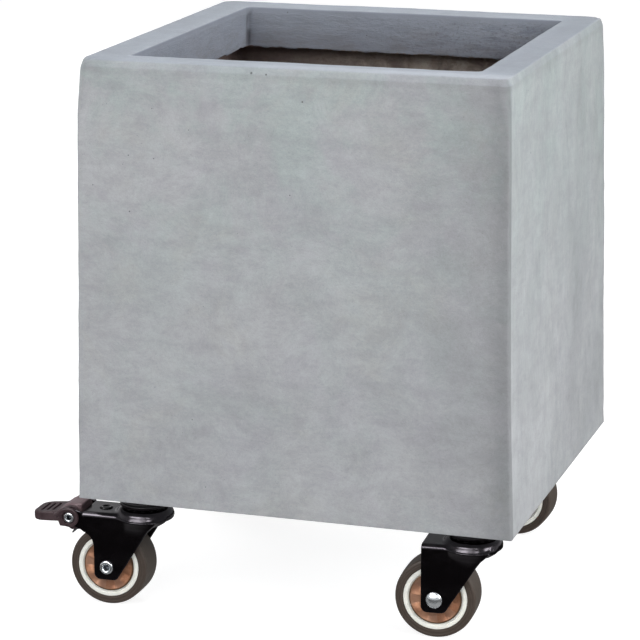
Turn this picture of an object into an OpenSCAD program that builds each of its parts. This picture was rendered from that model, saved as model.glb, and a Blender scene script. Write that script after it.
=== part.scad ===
// Rolling planter: a square fibre-clay pot on four 50 mm swivel casters,
// two of them with a foot brake. The origin is on the floor, under the centre
// of the whole object's box. +Z up, the front face of the pot faces -Y.

/* [Pot] */
// Outer width and depth of the square pot
pot_w = 270; // [260:1:300]
// Height of the pot, from its underside to its rim
pot_h = 273; // [240:1:320]
// Thickness of the walls below the lip
wall_t = 10; // [8:0.5:14]
// Width of the flat rim, where the wall is folded inwards
rim_w = 25; // [20:1:32]
// Height of the inward lip
lip_h = 27; // [20:1:40]
// Thickness of the base
base_t = 14; // [12:0.5:18]
// Radius of the upright outer corners
corner_r = 4; // [3:0.5:12]
// Radius of the upright inner corners below the lip
inner_r = 8; // [4:0.5:14]
// Radius of the upright corners of the mouth
mouth_r = 3; // [2:0.5:10]
// Diameter of the drain hole
drain_d = 16; // [12:1:24]

/* [Caster] */
// Height from the floor to the underside of the pot
caster_h = 71.5; // [71.5:0.5:78]
// Distance from the pot's centre lines to each swivel axis
inset = 104.4; // [96:0.2:108]
// Distance the axle trails behind the swivel axis
trail = 20.9; // [19:0.1:22]
// Diameter of the wheel over the tyre
wheel_d = 50; // [48:0.5:51]
// Width of the tyre
tyre_w = 21; // [19:0.5:22]
// Diameter where the tyre is moulded onto the wheel core
core_d = 39.4; // [38:0.2:41]
// Diameter of the wheel's dished covers
cover_d = 33; // [30:0.2:34]
// Clear gap between the legs of the fork
fork_gap = 23.4; // [23:0.1:25]
// Thickness of the fork's pressed sheet
sheet_t = 2; // [1.5:0.1:2.4]
// Number of balls in the upper race
upper_balls = 14; // [10:1:18]
// Number of balls in the lower race
lower_balls = 10; // [8:1:14]

/* [Stem] */
// Nominal thread diameter of the stem
stem_d = 8; // [6:1:8]
// Height of the stem above the underside of the pot
stem_len = 24.5; // [24:0.5:32]
// Thickness of the nut
nut_h = 6.5; // [5:0.5:8]
// Size of the nut across its flats
nut_af = 13; // [12:1:15]

/* [Rest angles] */
// Turn of the front right caster about its swivel axis
front_right_turn = 3; // [-25:1:25]
// Turn of the rear left caster about its swivel axis
rear_left_turn = 6; // [-25:1:25]
// Turn of the rear right caster about its swivel axis
rear_right_turn = -2; // [-25:1:25]

/* [Brake] */
// Distance from the pedal's pivot to the tip of its tab
pedal_reach = 26.7; // [24:0.1:30]
// Width of the pedal's tab
tab_w = 23.5; // [22:0.5:27]
// Width of the leaf that bears on the tyre
leaf_w = 12; // [8:0.5:16]

/* [Hidden] */
$fn = 64;

wheel_r = wheel_d / 2;
wheel_z = wheel_r - caster_h;          // axle height below the pot's underside
leg_y = fork_gap / 2;                  // inner face of a leg
out_y = leg_y + sheet_t;               // outer face of a leg
roof_z = -12;                          // top of the fork's flat roof
crown_r = 18;                          // outer radius of the fork's domed crown
plate_top = -8.7;                      // flat top of the crown, with the ball track
plate_bot = -11;
dome_r = 4.8;                          // radius of the crown's round shoulder
flat_r = crown_r - dome_r;             // where the flat top ends
dome_z = plate_top - dome_r;           // where the shoulder is upright
skirt_z = dome_z - 2;                  // lower edge of the crown's skirt
flare_z = -21.5;                       // where the flare has met the legs
race_r = 15.4;                         // upper race, a shallow cap
neck_r = 5;                            // kingpin
ball_r = 1.6;
track_r = 1.7;                         // radius of the ball tracks
upper_pitch = 11;                      // radius of each circle of balls
lower_pitch = 8;
upper_ball_z = -7.6;
lower_ball_z = -12.1;
axle_r = 3;
bush_r = 4;
pivot = [-44.7, -16];                  // brake pivot, from the swivel axis
ear_r = 5.5;
pin_r = 2.5;
cheek_in = fork_gap / 2 + sheet_t + 0.25;   // the pedal's cheeks, outside the ears
cheek_out = cheek_in + 1.85;
// The tab of the front left pedal reaches past the pot, so the pot stands
// off the centre of the object's box by half of that overhang
overhang = inset - pivot[0] + pedal_reach - pot_w / 2;
pot_x = overhang / 2;

// Square with round corners, centred
module round_square(w, r) {
    square([w, w - 2 * r], center = true);
    square([w - 2 * r, w], center = true);
    for (x = [-1, 1], y = [-1, 1])
        translate([x * (w / 2 - r), y * (w / 2 - r)]) circle(r);
}

// A profile in X and Z, made solid from y0 to y1
module side(y0, y1) {
    translate([0, y1, 0]) rotate([90, 0, 0]) linear_extrude(y1 - y0) children();
}

// A shape turned about an axle along Y
module about_axle() {
    translate([-trail, 0, wheel_z]) rotate([-90, 0, 0]) children();
}

module front_left() {
    translate([pot_x - inset, -inset, caster_h]) children();
}
module front_right() {
    translate([pot_x + inset, -inset, caster_h]) rotate([0, 0, front_right_turn]) children();
}
module rear_left() {
    translate([pot_x - inset, inset, caster_h]) rotate([0, 0, rear_left_turn]) children();
}
module rear_right() {
    translate([pot_x + inset, inset, caster_h]) rotate([0, 0, rear_right_turn]) children();
}
module every_corner() {
    for (x = [-1, 1], y = [-1, 1])
        translate([pot_x + x * inset, y * inset, caster_h]) children();
}

// ---------------------------------------------------------------- pot

module pot_shell() {
    color([0.62, 0.64, 0.65]) difference() {
        translate([pot_x, 0, caster_h]) difference() {
            linear_extrude(pot_h) round_square(pot_w, corner_r);
            translate([0, 0, base_t])
                linear_extrude(pot_h - base_t - lip_h)
                    round_square(pot_w - 2 * wall_t, inner_r);
            translate([0, 0, pot_h - lip_h - 1])
                linear_extrude(lip_h + 2)
                    round_square(pot_w - 2 * rim_w, mouth_r);
            translate([0, 0, -1]) cylinder(h = base_t + 2, d = drain_d);
        }
        every_corner() translate([0, 0, -1])
            cylinder(h = base_t + 2, r = stem_d / 2 + 0.4);
    }
}

module stem_nuts() {
    color([0.75, 0.76, 0.78]) every_corner()
        translate([0, 0, base_t + 1.6]) difference() {
            cylinder(h = nut_h, d = nut_af / cos(30), $fn = 6);
            translate([0, 0, -1]) cylinder(h = nut_h + 2, r = stem_d / 2 + 0.04);
        }
}

module stem_washers() {
    color([0.7, 0.71, 0.73]) every_corner()
        translate([0, 0, base_t]) difference() {
            cylinder(h = 1.6, r = 10);
            translate([0, 0, -1]) cylinder(h = 4, r = stem_d / 2 + 0.2);
        }
}

// ------------------------------------------------- swivel, fixed to the pot

// Threaded stem, hex collar and riveted kingpin in one forging
module stem() {
    color([0.72, 0.73, 0.75]) {
        translate([0, 0, -0.5]) cylinder(h = stem_len + 0.5 - 1, r = stem_d / 2);
        translate([0, 0, stem_len - 1])
            cylinder(h = 1, r1 = stem_d / 2, r2 = stem_d / 2 - 1);
        translate([0, 0, -3]) cylinder(h = 3, d = 14 / cos(30), $fn = 6);
        translate([0, 0, -15.5]) cylinder(h = 13, r = neck_r);
        translate([0, 0, -16.9]) cylinder(h = 1.9, r = 7);
    }
}

module upper_race() {
    color([0.10, 0.10, 0.11]) difference() {
        union() {
            translate([0, 0, -6.5]) cylinder(h = 3.5, r = race_r);
            translate([0, 0, -7.6]) difference() {
                cylinder(h = 1.2, r = race_r);
                translate([0, 0, -1]) cylinder(h = 3, r = race_r - 1.8);
            }
        }
        translate([0, 0, -8]) cylinder(h = 6, r = neck_r + 0.04);
        translate([0, 0, upper_ball_z])
            rotate_extrude() translate([upper_pitch, 0]) circle(track_r);
    }
}

module lower_race() {
    color([0.16, 0.16, 0.17]) difference() {
        translate([0, 0, -15]) cylinder(h = 1.9, r = 11);
        translate([0, 0, -16]) cylinder(h = 4, r = neck_r + 0.04);
        translate([0, 0, lower_ball_z])
            rotate_extrude() translate([lower_pitch, 0]) circle(track_r);
    }
}

// ------------------------------------------------- swivel, turning

module bearing_balls() {
    color([0.8, 0.81, 0.83]) {
        for (i = [0 : upper_balls - 1]) rotate(i * 360 / upper_balls)
            translate([upper_pitch, 0, upper_ball_z]) sphere(ball_r, $fn = 24);
        for (i = [0 : lower_balls - 1]) rotate(i * 360 / lower_balls)
            translate([lower_pitch, 0, lower_ball_z]) sphere(ball_r, $fn = 24);
    }
}

// Outline of one leg; the braked fork has an ear for the pedal's pin
module leg_outline(braked) {
    x0 = -trail - 8.3;
    x1 = -trail + 8.0;
    zb = wheel_z - 8.2;
    polygon([[x0, roof_z - 1], [x0, zb + 4], [x0 + 4, zb], [x1 - 4, zb],
             [x1 - 0.6, zb + 1.9], [4.3, -24.5], [7.5, -20], [12.5, -15],
             [12.5, roof_z - 1]]);
    translate([x0 + 4, zb + 4]) circle(4);
    translate([x1 - 4, zb + 4]) circle(4);
    if (braked) {
        polygon([[x0 + 1, roof_z - 1], [x0 + 1, -34], [-29.2, -33.2], [-30.8, -28.6],
                 [-34.4, -25.4], [-38.2, -23.4], [pivot[0], pivot[1] - ear_r],
                 [pivot[0], pivot[1] + ear_r], [-37.6, roof_z], [-36.6, roof_z - 1]]);
        translate(pivot) circle(ear_r);
    }
}

// The drawn crown: a flat top, a round shoulder and a short upright skirt
module crown() {
    sheet = plate_top - plate_bot;
    rotate_extrude() {
        translate([0, plate_bot]) square([flat_r, sheet]);
        intersection() {
            translate([flat_r, dome_z]) difference() {
                circle(dome_r);
                circle(dome_r - sheet);
            }
            translate([flat_r - 0.01, dome_z - 0.01]) square([dome_r + 1, dome_r + 1]);
        }
        translate([crown_r - sheet, skirt_z]) square([sheet, dome_z - skirt_z]);
    }
}

// The flare, where the crown's skirt draws in to the legs
module flare() {
    h = skirt_z - flare_z;
    for (m = [0, 1]) mirror([0, m, 0]) intersection() {
        translate([0, 0, flare_z]) difference() {
            cylinder(h = h + 0.02, r1 = out_y, r2 = crown_r);
            translate([0, 0, -0.01]) cylinder(h = h + 0.04, r1 = leg_y, r2 = crown_r - sheet_t);
        }
        side(-30, -9) polygon([[-13, skirt_z + 1], [-13, skirt_z - 1], [-3, flare_z + 0.5],
                               [6.6, flare_z + 0.5], [10.5, -19], [15, -16.6],
                               [15, skirt_z + 1]]);
    }
}

module fork(braked) {
    roof_x0 = braked ? -36.6 : -trail - 8.3;
    color([0.06, 0.06, 0.07]) difference() {
        union() {
            for (s = [-1, 1])
                side(s > 0 ? leg_y : -out_y, s > 0 ? out_y : -leg_y)
                    leg_outline(braked);
            difference() {
                translate([roof_x0, -out_y, roof_z - sheet_t])
                    cube([12.5 - roof_x0, 2 * out_y, sheet_t]);
                translate([0, 0, roof_z - sheet_t - 1])
                    cylinder(h = sheet_t + 2, r = crown_r - 1.3);
            }
            crown();
            flare();
        }
        // kingpin bore and ball tracks
        translate([0, 0, -14]) cylinder(h = 8, r = neck_r + 0.08);
        translate([0, 0, upper_ball_z])
            rotate_extrude() translate([upper_pitch, 0]) circle(track_r);
        translate([0, 0, lower_ball_z])
            rotate_extrude() translate([lower_pitch, 0]) circle(track_r);
        // axle holes
        about_axle() translate([0, 0, -20]) cylinder(h = 40, r = axle_r + 0.05);
        if (braked) {
            translate([pivot[0], 20, pivot[1]]) rotate([90, 0, 0])
                cylinder(h = 40, r = pin_r + 0.04);
            translate([-25.5, 0, -20]) cylinder(h = 12, r = 2.04);
        }
    }
}

// Riveted axle: a domed head, and a hollow peened end. dome_side is -1 when
// the dome faces the front
module axle_rivet(dome_side) {
    r_dome = 6.48;
    h_dome = 2.3;
    color([0.86, 0.87, 0.88]) about_axle() rotate([dome_side < 0 ? 180 : 0, 0, 0]) {
        difference() {
            union() {
                translate([0, 0, -out_y - 0.2]) cylinder(h = 2 * out_y + 0.2, r = axle_r);
                translate([0, 0, -out_y - 1.4]) cylinder(h = 1.35, r = 4.3);
            }
            translate([0, 0, -out_y - 2]) cylinder(h = 4, r = 2.1);
        }
        intersection() {
            translate([0, 0, out_y + h_dome - r_dome]) sphere(r_dome);
            translate([0, 0, out_y + 0.03]) cylinder(h = 5, r = 8);
        }
        translate([0, 0, out_y - 0.5]) cylinder(h = 1, r = axle_r);
    }
}

module axle_bush() {
    color([0.66, 0.67, 0.69]) about_axle() difference() {
        translate([0, 0, -leg_y + 0.05]) cylinder(h = fork_gap - 0.1, r = bush_r);
        translate([0, 0, -leg_y - 1]) cylinder(h = fork_gap + 2, r = axle_r + 0.05);
    }
}

// ---------------------------------------------------------------- wheel

module wheel_core() {
    w = tyre_w / 2 - 0.2;
    ledge = 9.2;
    rc = cover_d / 2 + 0.2;
    color([0.82, 0.84, 0.83]) about_axle() difference() {
        translate([0, 0, -w]) cylinder(h = 2 * w, d = core_d);
        for (m = [0, 1]) mirror([0, 0, m]) {
            translate([0, 0, ledge]) cylinder(h = 5, r = rc);
            translate([0, 0, 3]) difference() {
                cylinder(h = 10, r = rc - 2.2);
                translate([0, 0, -1]) cylinder(h = ledge - 2, r = 8.5);
            }
        }
        translate([0, 0, -15]) cylinder(h = 30, r = bush_r + 0.07);
    }
}

module tyre() {
    w = tyre_w / 2;
    s = 2.5;
    color([0.31, 0.27, 0.26]) about_axle() rotate_extrude() {
        translate([core_d / 2, -w + s]) square([wheel_r - core_d / 2, 2 * (w - s)]);
        translate([core_d / 2, -w]) square([wheel_r - core_d / 2 - s, 2 * w]);
        for (z = [-1, 1]) translate([wheel_r - s, z * (w - s)]) circle(s);
    }
}

// The two dished covers, one on each side of the core
module wheel_covers() {
    color([0.65, 0.45, 0.35]) about_axle() for (m = [0, 1]) mirror([0, 0, m])
        rotate_extrude() polygon([[5.4, 9.25], [cover_d / 2, 9.25],
            [cover_d / 2, 10.1], [cover_d / 2 - 1.2, 10.4], [11, 9.9],
            [7, 10.5], [5.4, 10.5]]);
}

// ---------------------------------------------------------------- brake

// Top of the pedal, from the tab up to the heel, seen from the side
module heel_outline() {
    polygon([[-9, 0], [-9.6, 1.8], [-8.4, 2.6], [-7.1, 3.9], [-5.4, 5.5], [-3.6, 6.5],
             [-1.4, 7.1], [1.5, 7.5], [4.5, 7.8], [6.2, 7.6], [6.8, 7.1], [6, 5.5],
             [6, 0], [0, -4]]);
}

// Rocker pedal: a tab to the left, a heel above the pin, a cam below it, and
// two cheeks that hang outside the ears of the fork
module brake_pedal() {
    y_hub = leg_y - 0.35;
    color([0.33, 0.26, 0.26]) translate([pivot[0], 0, pivot[1]]) difference() {
        union() {
            intersection() {
                side(-tab_w / 2, tab_w / 2) {
                    polygon([[-pedal_reach + 2.2, -2.2], [-8.4, -3.0], [-6.2, -0.3],
                             [-8.4, 2.2], [-pedal_reach + 2.2, 2.2]]);
                    translate([-pedal_reach + 2.2, 0]) circle(2.2);
                }
                translate([0, 0, -10]) linear_extrude(20) {
                    for (m = [-1, 1]) translate([-pedal_reach + 8, m * (tab_w / 2 - 8)])
                        circle(8);
                    translate([-pedal_reach, -tab_w / 2 + 8]) square([22, tab_w - 16]);
                    translate([-pedal_reach + 8, -tab_w / 2]) square([14, tab_w]);
                }
            }
            side(-9, 9) heel_outline();
            side(-y_hub, y_hub) {
                circle(6.6);
                translate([0.8, -5.4]) circle(3.3);
            }
            side(-cheek_out, cheek_out) {
                circle(6.2);
                polygon([[-10, 0.2], [-10, 1.9], [-8.8, 2.2], [-7.2, 3.6], [-5.4, 4.9],
                         [-3.8, 5.6], [-1.5, 6.15], [0.4, 6.15], [0.4, 0], [-5, 0]]);
                polygon([[-8, -1], [-6, -5.8], [-1.6, -5.9], [0, 0], [-5, 2]]);
            }
        }
        for (m = [0, 1]) mirror([0, m, 0]) {
            // room for the ear of the fork
            side(y_hub, cheek_in) {
                circle(5.9);
                translate([0.4, -10]) square([10, 20]);
            }
            // recess of the pin's head
            side(cheek_out - 0.9, cheek_out + 1) circle(4.1);
        }
        translate([0, 20, 0]) rotate([90, 0, 0]) cylinder(h = 40, r = pin_r + 0.06);
    }
}

// Hollow rivet through both ears and both cheeks
module brake_pin() {
    seat = cheek_out - 0.85;
    color([0.85, 0.86, 0.87]) translate([pivot[0], 0, pivot[1]]) rotate([90, 0, 0])
        difference() {
            union() {
                translate([0, 0, -seat - 0.1]) cylinder(h = 2 * seat + 0.2, r = pin_r);
                for (m = [0, 1]) mirror([0, 0, m])
                    translate([0, 0, seat]) cylinder(h = 1.1, r = 3.2);
            }
            for (m = [0, 1]) mirror([0, 0, m])
                translate([0, 0, seat - 1]) cylinder(h = 5, r = 1.5);
        }
}

// Bent strip, riveted under the roof, that the cam presses onto the tyre
module brake_leaf() {
    t = 1;
    path = [[-18.3, roof_z - sheet_t - 0.55], [-29.4, roof_z - sheet_t - 0.55],
            [-35.8, -25.1], [-43.8, -25.6], [-46.4, -28.6]];
    color([0.55, 0.56, 0.58]) difference() {
        side(-leaf_w / 2, leaf_w / 2) {
            for (i = [0 : len(path) - 2]) {
                a = path[i];
                b = path[i + 1];
                translate(a) rotate(atan2(b[1] - a[1], b[0] - a[0]))
                    translate([0, -t / 2]) square([norm(b - a), t]);
            }
            for (i = [1 : len(path) - 2]) translate(path[i]) circle(t / 2);
        }
        translate([-25.5, 0, -20]) cylinder(h = 12, r = 2.04);
    }
}

// Hollow rivet that holds the leaf under the roof
module leaf_rivet() {
    color([0.09, 0.09, 0.10]) translate([-25.5, 0, 0]) difference() {
        union() {
            translate([0, 0, roof_z - sheet_t - 1.6]) cylinder(h = sheet_t + 1.9, r = 2);
            translate([0, 0, roof_z + 0.03]) cylinder(h = 0.8, r1 = 4.2, r2 = 3.7);
            translate([0, 0, roof_z - sheet_t - 2.1]) cylinder(h = 0.95, r = 2.9);
        }
        translate([0, 0, roof_z + 0.1]) cylinder(h = 2, r = 1.7);
    }
}

// ------------------------------------------------------- the named pieces

module front_left_stem() { front_left() stem(); }
module front_left_upper_race() { front_left() upper_race(); }
module front_left_lower_race() { front_left() lower_race(); }
module front_left_bearing_balls() { front_left() bearing_balls(); }
module front_left_fork() { front_left() fork(true); }
module front_left_axle_rivet() { front_left() axle_rivet(1); }
module front_left_axle_bush() { front_left() axle_bush(); }
module front_left_wheel_core() { front_left() wheel_core(); }
module front_left_tyre() { front_left() tyre(); }
module front_left_wheel_covers() { front_left() wheel_covers(); }
module front_left_brake_pedal() { front_left() brake_pedal(); }
module front_left_brake_pin() { front_left() brake_pin(); }
module front_left_brake_leaf() { front_left() brake_leaf(); }
module front_left_leaf_rivet() { front_left() leaf_rivet(); }

module front_right_stem() { front_right() stem(); }
module front_right_upper_race() { front_right() upper_race(); }
module front_right_lower_race() { front_right() lower_race(); }
module front_right_bearing_balls() { front_right() bearing_balls(); }
module front_right_fork() { front_right() fork(false); }
module front_right_axle_rivet() { front_right() axle_rivet(-1); }
module front_right_axle_bush() { front_right() axle_bush(); }
module front_right_wheel_core() { front_right() wheel_core(); }
module front_right_tyre() { front_right() tyre(); }
module front_right_wheel_covers() { front_right() wheel_covers(); }

module rear_left_stem() { rear_left() stem(); }
module rear_left_upper_race() { rear_left() upper_race(); }
module rear_left_lower_race() { rear_left() lower_race(); }
module rear_left_bearing_balls() { rear_left() bearing_balls(); }
module rear_left_fork() { rear_left() fork(false); }
module rear_left_axle_rivet() { rear_left() axle_rivet(-1); }
module rear_left_axle_bush() { rear_left() axle_bush(); }
module rear_left_wheel_core() { rear_left() wheel_core(); }
module rear_left_tyre() { rear_left() tyre(); }
module rear_left_wheel_covers() { rear_left() wheel_covers(); }

module rear_right_stem() { rear_right() stem(); }
module rear_right_upper_race() { rear_right() upper_race(); }
module rear_right_lower_race() { rear_right() lower_race(); }
module rear_right_bearing_balls() { rear_right() bearing_balls(); }
module rear_right_fork() { rear_right() fork(true); }
module rear_right_axle_rivet() { rear_right() axle_rivet(1); }
module rear_right_axle_bush() { rear_right() axle_bush(); }
module rear_right_wheel_core() { rear_right() wheel_core(); }
module rear_right_tyre() { rear_right() tyre(); }
module rear_right_wheel_covers() { rear_right() wheel_covers(); }
module rear_right_brake_pedal() { rear_right() brake_pedal(); }
module rear_right_brake_pin() { rear_right() brake_pin(); }
module rear_right_brake_leaf() { rear_right() brake_leaf(); }
module rear_right_leaf_rivet() { rear_right() leaf_rivet(); }

pot_shell();
stem_nuts();
stem_washers();

front_left_stem();
front_left_upper_race();
front_left_lower_race();
front_left_bearing_balls();
front_left_fork();
front_left_axle_rivet();
front_left_axle_bush();
front_left_wheel_core();
front_left_tyre();
front_left_wheel_covers();
front_left_brake_pedal();
front_left_brake_pin();
front_left_brake_leaf();
front_left_leaf_rivet();

front_right_stem();
front_right_upper_race();
front_right_lower_race();
front_right_bearing_balls();
front_right_fork();
front_right_axle_rivet();
front_right_axle_bush();
front_right_wheel_core();
front_right_tyre();
front_right_wheel_covers();

rear_left_stem();
rear_left_upper_race();
rear_left_lower_race();
rear_left_bearing_balls();
rear_left_fork();
rear_left_axle_rivet();
rear_left_axle_bush();
rear_left_wheel_core();
rear_left_tyre();
rear_left_wheel_covers();

rear_right_stem();
rear_right_upper_race();
rear_right_lower_race();
rear_right_bearing_balls();
rear_right_fork();
rear_right_axle_rivet();
rear_right_axle_bush();
rear_right_wheel_core();
rear_right_tyre();
rear_right_wheel_covers();
rear_right_brake_pedal();
rear_right_brake_pin();
rear_right_brake_leaf();
rear_right_leaf_rivet();
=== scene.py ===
import math

import bpy
import numpy as np
from mathutils import Matrix, Vector
from mathutils.geometry import delaunay_2d_cdt


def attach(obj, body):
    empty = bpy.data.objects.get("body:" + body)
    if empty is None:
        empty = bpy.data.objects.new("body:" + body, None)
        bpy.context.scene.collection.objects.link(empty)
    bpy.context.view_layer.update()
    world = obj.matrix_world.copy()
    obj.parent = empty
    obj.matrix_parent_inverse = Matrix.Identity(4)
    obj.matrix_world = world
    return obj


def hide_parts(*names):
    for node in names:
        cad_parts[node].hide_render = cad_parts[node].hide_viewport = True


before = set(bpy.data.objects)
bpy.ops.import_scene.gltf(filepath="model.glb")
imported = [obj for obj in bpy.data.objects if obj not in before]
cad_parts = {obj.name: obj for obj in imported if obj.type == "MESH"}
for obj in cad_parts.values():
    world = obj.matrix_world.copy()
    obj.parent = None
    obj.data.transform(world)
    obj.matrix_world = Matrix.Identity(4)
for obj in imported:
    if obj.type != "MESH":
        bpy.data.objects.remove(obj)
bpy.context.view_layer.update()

MM = 0.001
POT_X, CASTER_H, INSET = 20.4, 71.5, 104.4
TURN = {"front_left": 0.0, "front_right": 3.0, "rear_left": 6.0, "rear_right": -2.0}
SIGN = {"front_left": (-1, -1), "front_right": (1, -1), "rear_left": (-1, 1), "rear_right": (1, 1)}
BRAKED = ("front_left", "rear_right")
AXLE = (-20.9, 0.0, -46.5)
PIVOT = (-44.7, -16.0)

# ------------------------------------------------------------------ camera
cam = bpy.data.objects.new("camera", bpy.data.cameras.new("camera"))
bpy.context.scene.collection.objects.link(cam)
cam.location = (0.5317, -1.7694, 0.6169)
cam.rotation_euler = (math.radians(90 - 13.824), 0, math.radians(16.803))
cam.data.lens = 168.64
cam.data.sensor_width = 36
cam.data.clip_end = 50
bpy.context.scene.camera = cam


# ------------------------------------------------------------------- noise
def _hash(i, j, k, seed):
    n = (i.astype(np.uint32) * np.uint32(374761393) + j.astype(np.uint32) * np.uint32(668265263)
         + k.astype(np.uint32) * np.uint32(2246822519) + np.uint32((seed * 3266489917) & 0xFFFFFFFF))
    n = (n ^ (n >> np.uint32(13))) * np.uint32(1274126177)
    n = (n ^ (n >> np.uint32(16))) * np.uint32(2246822519)
    n = n ^ (n >> np.uint32(15))
    return n.astype(np.float64) / 4294967295.0 * 2 - 1


def noise(p, size, seed=0, stretch=(1, 1, 1)):
    """Smooth noise from -1 to 1 at the points p (n, 3), in mm, with features of that size."""
    q = np.asarray(p, float) / (np.array(stretch) * size) + 1000.0
    b = np.floor(q).astype(np.int64)
    f = q - b
    f = f * f * f * (f * (f * 6 - 15) + 10)
    out = 0
    for di in (0, 1):
        for dj in (0, 1):
            for dk in (0, 1):
                w = ((f[:, 0] if di else 1 - f[:, 0]) * (f[:, 1] if dj else 1 - f[:, 1])
                     * (f[:, 2] if dk else 1 - f[:, 2]))
                out = out + w * _hash(b[:, 0] + di, b[:, 1] + dj, b[:, 2] + dk, seed)
    return out


def fbm(p, size, octaves=3, seed=0, stretch=(1, 1, 1), gain=0.5):
    out, a, total = 0, 1.0, 0
    for o in range(octaves):
        out = out + a * noise(p, size / 2 ** o, seed + 17 * o, stretch)
        total += a
        a *= gain
    return out / total


def smoothstep(a, b, x):
    t = np.clip((x - a) / (b - a), 0, 1)
    return t * t * (3 - 2 * t)


# ------------------------------------------------------------ mesh builders
def make(name, verts, faces, normals=None, sharp=None, uvs=None):
    """A mesh object from vertices in mm."""
    me = bpy.data.meshes.new(name)
    v = np.asarray(verts, float) * MM
    me.from_pydata([tuple(p) for p in v], [], [tuple(int(i) for i in f) for f in faces])
    me.update()
    me.polygons.foreach_set("use_smooth", [True] * len(me.polygons))
    if sharp is not None:
        me.set_sharp_from_angle(angle=math.radians(sharp))
    if normals is not None:
        me.normals_split_custom_set_from_vertices([tuple(n) for n in normals])
    ob = bpy.data.objects.new(name, me)
    bpy.context.scene.collection.objects.link(ob)
    return ob


def fillet(points, radii, seg=4):
    """A closed line of points with each corner rounded to its radius."""
    out, n = [], len(points)
    if not hasattr(radii, "__len__"):
        radii = [radii] * n
    for i in range(n):
        p, a, b = (np.array(points[j], float) for j in (i, i - 1, (i + 1) % n))
        r = radii[i]
        u, w = a - p, b - p
        lu, lw = np.linalg.norm(u), np.linalg.norm(w)
        if r <= 0 or lu < 1e-9 or lw < 1e-9:
            out.append(tuple(p))
            continue
        u, w = u / lu, w / lw
        half = math.acos(float(np.clip(u @ w, -1, 1))) / 2
        if half > math.radians(88) or half < math.radians(2):
            out.append(tuple(p))
            continue
        d = min(r / math.tan(half), 0.49 * lu, 0.49 * lw)
        r = d * math.tan(half)
        c = p + (u + w) / np.linalg.norm(u + w) * (r / math.sin(half))
        s, e = p + u * d - c, p + w * d - c
        ang = math.atan2(s[0] * e[1] - s[1] * e[0], float(s @ e))
        for k in range(seg + 1):
            t = ang * k / seg
            out.append((c[0] + s[0] * math.cos(t) - s[1] * math.sin(t),
                        c[1] + s[0] * math.sin(t) + s[1] * math.cos(t)))
    return out


def lathe(profile, seg=96, shift=None):
    """Turns a closed profile of (radius, z) about z. The profile may touch the axis."""
    prof = [p for i, p in enumerate(profile)
            if math.dist(p, profile[i - 1]) > 1e-5]
    verts, idx = [], []
    ang = np.arange(seg) * 2 * math.pi / seg
    for r, z in prof:
        if r < 1e-4:
            idx.append([len(verts)] * seg)
            verts.append((0, 0, z))
        else:
            idx.append(list(range(len(verts), len(verts) + seg)))
            verts += [(r * math.cos(a), r * math.sin(a), z) for a in ang]
    faces, n = [], len(prof)
    for i in range(n):
        a, b = idx[i], idx[(i + 1) % n]
        if a[0] == a[1] and b[0] == b[1]:
            continue
        for k in range(seg):
            m = (k + 1) % seg
            f = [a[k], a[m], b[m], b[k]]
            f = [x for j, x in enumerate(f) if x != f[j - 1]]
            if len(f) > 2:
                faces.append(f)
    v = np.array(verts, float)
    area = sum(p[0] * q[1] - q[0] * p[1] for p, q in zip(prof, prof[1:] + prof[:1]))
    if area < 0:
        faces = [f[::-1] for f in faces]
    if shift is not None:
        v = shift(v)
    return v, faces


def join(parts):
    verts, faces, k = [], [], 0
    for v, f in parts:
        verts.append(np.asarray(v, float))
        faces += [[i + k for i in g] for g in f]
        k += len(v)
    return np.vstack(verts), faces


# ------------------------------------------------------ distance functions
def seg2(px, py, a, b):
    ax, ay, bx, by = a[0], a[1], b[0], b[1]
    dx, dy = bx - ax, by - ay
    t = np.clip(((px - ax) * dx + (py - ay) * dy) / (dx * dx + dy * dy), 0, 1)
    return np.hypot(px - ax - t * dx, py - ay - t * dy)


def poly2(px, py, pts):
    """Signed distance to a polygon."""
    d = np.full(np.shape(px), 1e9)
    s = np.ones(np.shape(px))
    n = len(pts)
    for i in range(n):
        a, b = pts[i], pts[i - 1]
        d = np.minimum(d, seg2(px, py, a, b))
        c1 = py >= a[1]
        c2 = py < b[1]
        c3 = (b[0] - a[0]) * (py - a[1]) > (b[1] - a[1]) * (px - a[0])
        flip = (c1 & c2 & c3) | (~c1 & ~c2 & ~c3)
        s = np.where(flip, -s, s)
    return s * d


def disc2(px, py, c, r):
    return np.hypot(px - c[0], py - c[1]) - r


def rbox2(px, py, hx, hy, r):
    qx, qy = np.abs(px) - hx + r, np.abs(py) - hy + r
    return np.minimum(np.maximum(qx, qy), 0) + np.hypot(np.maximum(qx, 0), np.maximum(qy, 0)) - r


def both(a, b, r):
    """Where two distances are both inside, with the edge between them rounded to r."""
    a, b = a + r, b + r
    return np.minimum(np.maximum(a, b), 0) + np.hypot(np.maximum(a, 0), np.maximum(b, 0)) - r


def smin(a, b, k):
    h = np.maximum(k - np.abs(a - b), 0) / k
    return np.minimum(a, b) - h * h * k * 0.25


def smax(a, b, k):
    return -smin(-a, -b, k)


def arc(cx, cy, r, a0, a1, n):
    return [(cx + r * math.cos(math.radians(a0 + (a1 - a0) * i / n)),
             cy + r * math.sin(math.radians(a0 + (a1 - a0) * i / n))) for i in range(n + 1)]


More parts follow.
